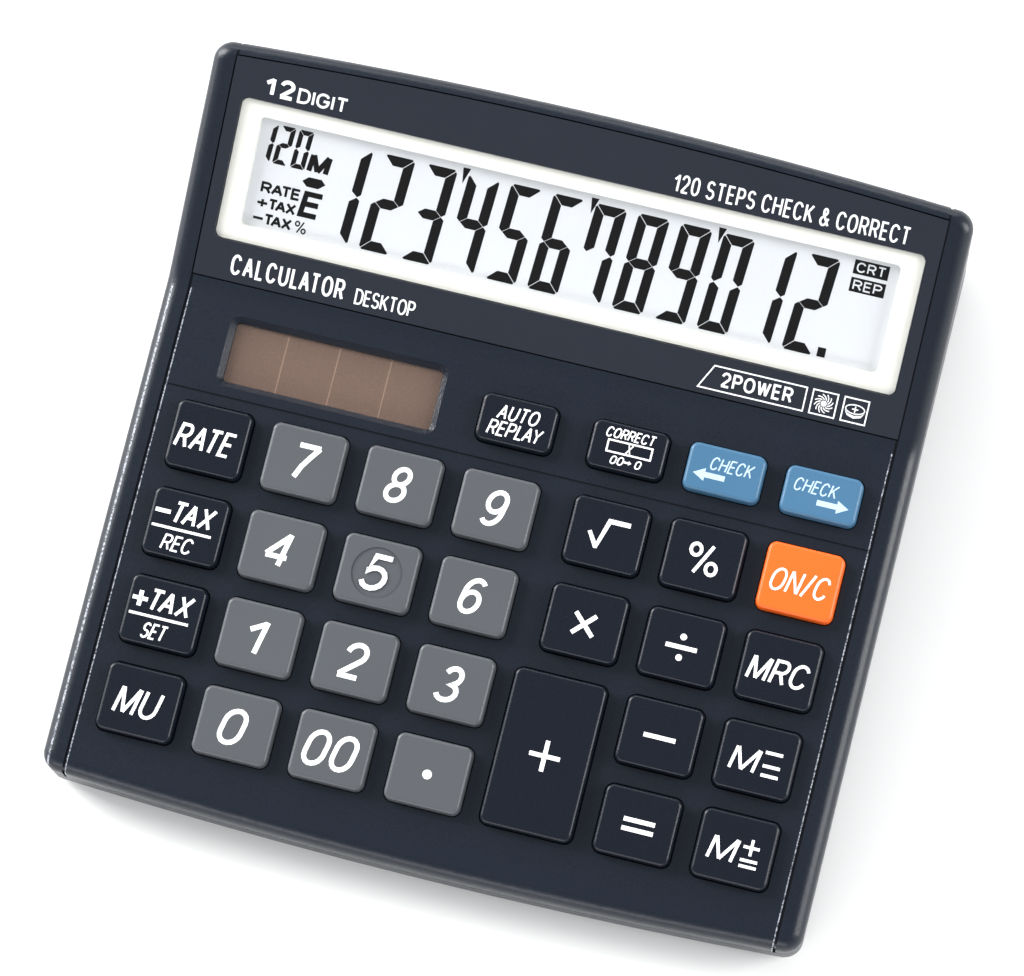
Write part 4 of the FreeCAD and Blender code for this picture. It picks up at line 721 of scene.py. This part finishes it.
# words on each key: text, width, height, how far right and up from the key's middle, and the pen
LEGENDS = {
    "rate": [("RATE", 10.4, 4.3, -0.4, -0.3, 0.54)],
    "tax_minus": [("TAX", 7.8, 3.8, 0.85, 1.95, 0.54), ("REC", 5.6, 2.75, -0.6, -3.25, 0.34)],
    "tax_plus": [("TAX", 8.1, 3.8, 0.85, 1.95, 0.54), ("SET", 4.6, 2.75, -0.6, -3.25, 0.34)],
    "mark_up": [("MU", 8.2, 4.9, -0.2, -0.2, 0.58)],
    "7": [("7", 5.6, 6.35, 0, 0, 0.86)], "8": [("8", 4.9, 6.35, -0.1, 0, 0.82)],
    "9": [("9", 4.9, 6.35, 0, 0, 0.82)], "4": [("4", 5.6, 6.35, -0.25, 0, 0.86)],
    "5": [("5", 5.6, 6.35, -0.1, 0, 0.86)], "6": [("6", 4.9, 6.35, -0.1, 0, 0.82)],
    "1": [("1", 4.3, 6.35, -0.65, 0, 0.86)], "2": [("2", 5.3, 6.35, 0, 0, 0.86)],
    "3": [("3", 5.1, 6.35, -0.1, 0, 0.86)], "0": [("0", 5.4, 6.35, -0.35, -0.3, 0.82)],
    "00": [("00", 9.9, 6.35, -0.1, -0.3, 0.82)],
    "percent": [("%", 5.4, 5.5, 0.1, -0.15, 0.58)],
    "on_clear": [("ON/C", 10.4, 4.0, 0, -0.4, 0.42)],
    "memory_recall": [("MRC", 10.6, 4.3, 0.05, -0.35, 0.54)],
    "memory_minus": [("M", 5.2, 4.3, -1.9, -0.4, 0.54)],
    "memory_plus": [("M", 5.2, 4.3, -1.9, -0.4, 0.54)],
    "replay": [("AUTO", 7.4, 2.6, 0.1, 1.25, 0.32), ("REPLAY", 9.6, 2.6, 0.1, -1.6, 0.32)],
    "correct": [("CORRECT", 8.6, 1.8, 0.05, 2.2, 0.25), ("X", 1.3, 1.8, 0.3, -0.1, 0.22),
                ("00", 2.5, 1.5, -1.3, -2.3, 0.23), ("0", 1.3, 1.5, 2.3, -2.3, 0.23)],
    "check_back": [("CHECK", 7.6, 2.3, 1.1, 1.0, 0.26)],
    "check_forward": [("CHECK", 7.7, 2.3, -1.1, 1.0, 0.26)],
}
# straight bars: width, height, how far right and up
BARS = {
    "tax_minus": [(10.2, 0.45, -0.5, -0.85), (2.6, 0.7, -4.3, 1.75)],
    "tax_plus": [(10.2, 0.45, -0.5, -0.85), (2.6, 0.7, -4.3, 1.75), (0.75, 2.6, -4.3, 1.75)],
    "divide": [(5.3, 0.75, 0, -0.1)],
    "minus": [(5.4, 0.75, 0.1, -0.35)],
    "equals": [(5.3, 0.75, 0.2, 0.55), (5.3, 0.75, 0.2, -1.0)],
    "memory_minus": [(2.9, 0.55, 2.6, rise) for rise in (1.5, -0.75, -2.3)],
    "memory_plus": [(2.9, 0.5, 2.6, rise) for rise in (-1.45, -2.45)],
}
# crosses: length, stroke, how far right and up, and how far turned
CROSSES = {
    "multiply": [(5.0, 0.75, 0, -0.2, math.pi / 4)],
    "plus": [(5.2, 0.75, 0.3, -0.25, 0.0)],
    "memory_plus": [(2.7, 0.5, 2.6, 0.75, 0.0)],
}
# round dots: radius, how far right and up
DOTS = {"point": [(0.8, -0.1, -0.25)], "divide": [(0.55, 0, 1.65), (0.55, 0, -1.85)]}
ARROW = [(-2.7, 0.0), (-0.7, 1.1), (-0.7, 0.46), (2.7, 0.46), (2.7, -0.46), (-0.7, -0.46), (-0.7, -1.1)]
# other signs, by their corners
SIGNS = {
    "root": [[(-3.2, -0.05), (-2.6, 0.27), (-1.4, -1.55), (-0.2, 2.75), (3.6, 2.75), (3.6, 1.95),
              (0.35, 1.95), (-1.1, -2.55), (-1.65, -2.55), (-2.9, -0.45)]],
    "correct": [[(0.5 - 0.25 * x, -2.3 + 0.35 * y) for x, y in ARROW]],
    "check_back": [[(x - 2.4, y - 1.15) for x, y in ARROW]],
    "check_forward": [[(2.2 - x, y - 1.35) for x, y in ARROW]],
}
# the long box that stands for a number on the display
NUMBER_BOX, NUMBER_LINE = [(-3.6, -1.2), (4.2, -1.2), (4.2, 1.05), (-3.6, 1.05)], 0.3


for name in key_names:
    key = name[len("key_"):]
    ink = bmesh.new()
    for text, wide, high, x, y, pen in LEGENDS.get(key, []):
        words(ink, text, wide, high, x, y, pen, lean=0.0 if key == "percent" else ITALIC)
    for wide, high, x, y in BARS.get(key, []):
        bar(ink, wide, high, x, y)
    for long, stroke, x, y, turned in CROSSES.get(key, []):
        cross(ink, long, stroke, x, y, turned)
    for radius, x, y in DOTS.get(key, []):
        disc(ink, radius, radius, x, y)
    for sign in SIGNS.get(key, []):
        patch(ink, sign)
    if key == "correct":
        outline(ink, NUMBER_BOX, NUMBER_LINE)
    lay(f"legend_{key}", ink, top_of(name), LEGEND_THICK, ink_pale if name in BLUE_KEYS else ink_white, name)


# ---------------------------------------------------------------------------------------------
# Case screws: six self-tapping screws of zinc-plated steel, with cross recesses. They sit deep in
# wells in the tray, and pull it up to posts of the top cover.
finish_in(screw_zinc, "case_screws")


# ---------------------------------------------------------------------------------------------
# Studio: a plain pale floor, broad soft lamps on all four sides with the brightest at the left,
# and a long lens that looks down on the calculator with the camera rolled.
FLOOR_PALE = "#f4f4f3"
FLOOR_WIDE = 2.4
SKY_LOW, SKY_HIGH = 1.25, 0.44  # the sky is bright near the horizon and dimmer overhead
# each lamp's name, place in metres, width and height in metres, and power in watts
LAMPS = [
    ("left_lamp", (-1.3, 0.5, 0.75), 0.7, 1.2, 40.0),
    ("low_left_lamp", (-1.5, 0.35, 0.16), 1.4, 0.26, 6.5),
    ("right_lamp", (1.3, 0.3, 0.75), 0.7, 1.2, 24.0),
    ("back_lamp", (-0.3, 1.35, 0.7), 1.5, 0.5, 7.0),
    ("front_lamp", (-0.2, -1.3, 0.6), 1.6, 0.5, 9.0),
]
SKY_TONE = "#f3f5f8"
# what the camera aims at in metres, the angles it stands at in degrees, and its distance in metres
AIM = Vector((0.000249, 0.002042, 0.015))
AZIMUTH, TILT, ROLL, DISTANCE = 5.438, 11.090, 14.578, 0.7901
LENS, SENSOR_WIDE = 166.4, 36.0  # in mm
CLIP_NEAR, CLIP_FAR = 0.01, 20.0  # in metres

floor_shape = bmesh.new()
bmesh.ops.create_grid(floor_shape, x_segments=1, y_segments=1, size=FLOOR_WIDE / 2)
floor_mesh = bpy.data.meshes.new("floor")
floor_shape.to_mesh(floor_mesh)
floor_shape.free()
floor = bpy.data.objects.new("floor", floor_mesh)
# matt backdrop paper: nearly white, with no gloss that would mirror the lamps
paper = moulded("paper_backdrop_matt", FLOOR_PALE, rough=0.85, ior=1.45, grain=2.0, depth=0.005, vary=0.01)
floor_mesh.materials.append(paper)
bpy.context.scene.collection.objects.link(floor)

world = bpy.data.worlds.new("studio")
bpy.context.scene.world = world
world.use_nodes = True
sky = world.node_tree
sky.nodes["Background"].inputs["Color"].default_value = linear(SKY_TONE)
ray = add(sky, "ShaderNodeSeparateXYZ", {0: add(sky, "ShaderNodeTexCoord", {}).outputs["Generated"]})
glow = add(sky, "ShaderNodeMapRange", {"Value": ray.outputs["Z"], "From Min": 0.1, "From Max": 0.8,
                                       "To Min": SKY_LOW, "To Max": SKY_HIGH})
sky.links.new(glow.outputs["Result"], sky.nodes["Background"].inputs["Strength"])
for name, spot, wide, high, power in LAMPS:
    lamp = bpy.data.lights.new(name, "AREA")
    lamp.shape = "RECTANGLE"
    lamp.size, lamp.size_y = wide, high
    lamp.energy = power
    holder = bpy.data.objects.new(name, lamp)
    bpy.context.scene.collection.objects.link(holder)
    holder.location = spot
    holder.rotation_euler = (AIM - Vector(spot)).to_track_quat("-Z", "Y").to_euler()

lens = bpy.data.cameras.new("camera")
lens.lens = LENS
lens.sensor_width = SENSOR_WIDE
lens.clip_start, lens.clip_end = CLIP_NEAR, CLIP_FAR
camera = bpy.data.objects.new("camera", lens)
bpy.context.scene.collection.objects.link(camera)
across, down = math.sin(math.radians(AZIMUTH)), math.sin(math.radians(TILT))
back = Vector((across, -down, math.sqrt(1 - across ** 2 - down ** 2)))
right = (-back).cross(Vector((0, 1, 0))).normalized()
upward = right.cross(-back)
roll = math.radians(ROLL)
camera_x = right * math.cos(roll) + upward * math.sin(roll)
camera_y = upward * math.cos(roll) - right * math.sin(roll)
turn = Matrix((camera_x, camera_y, back)).transposed().to_4x4()
camera.matrix_world = Matrix.Translation(AIM + back * DISTANCE) @ turn
bpy.context.scene.camera = camera
bpy.context.scene.view_settings.view_transform = "Standard"
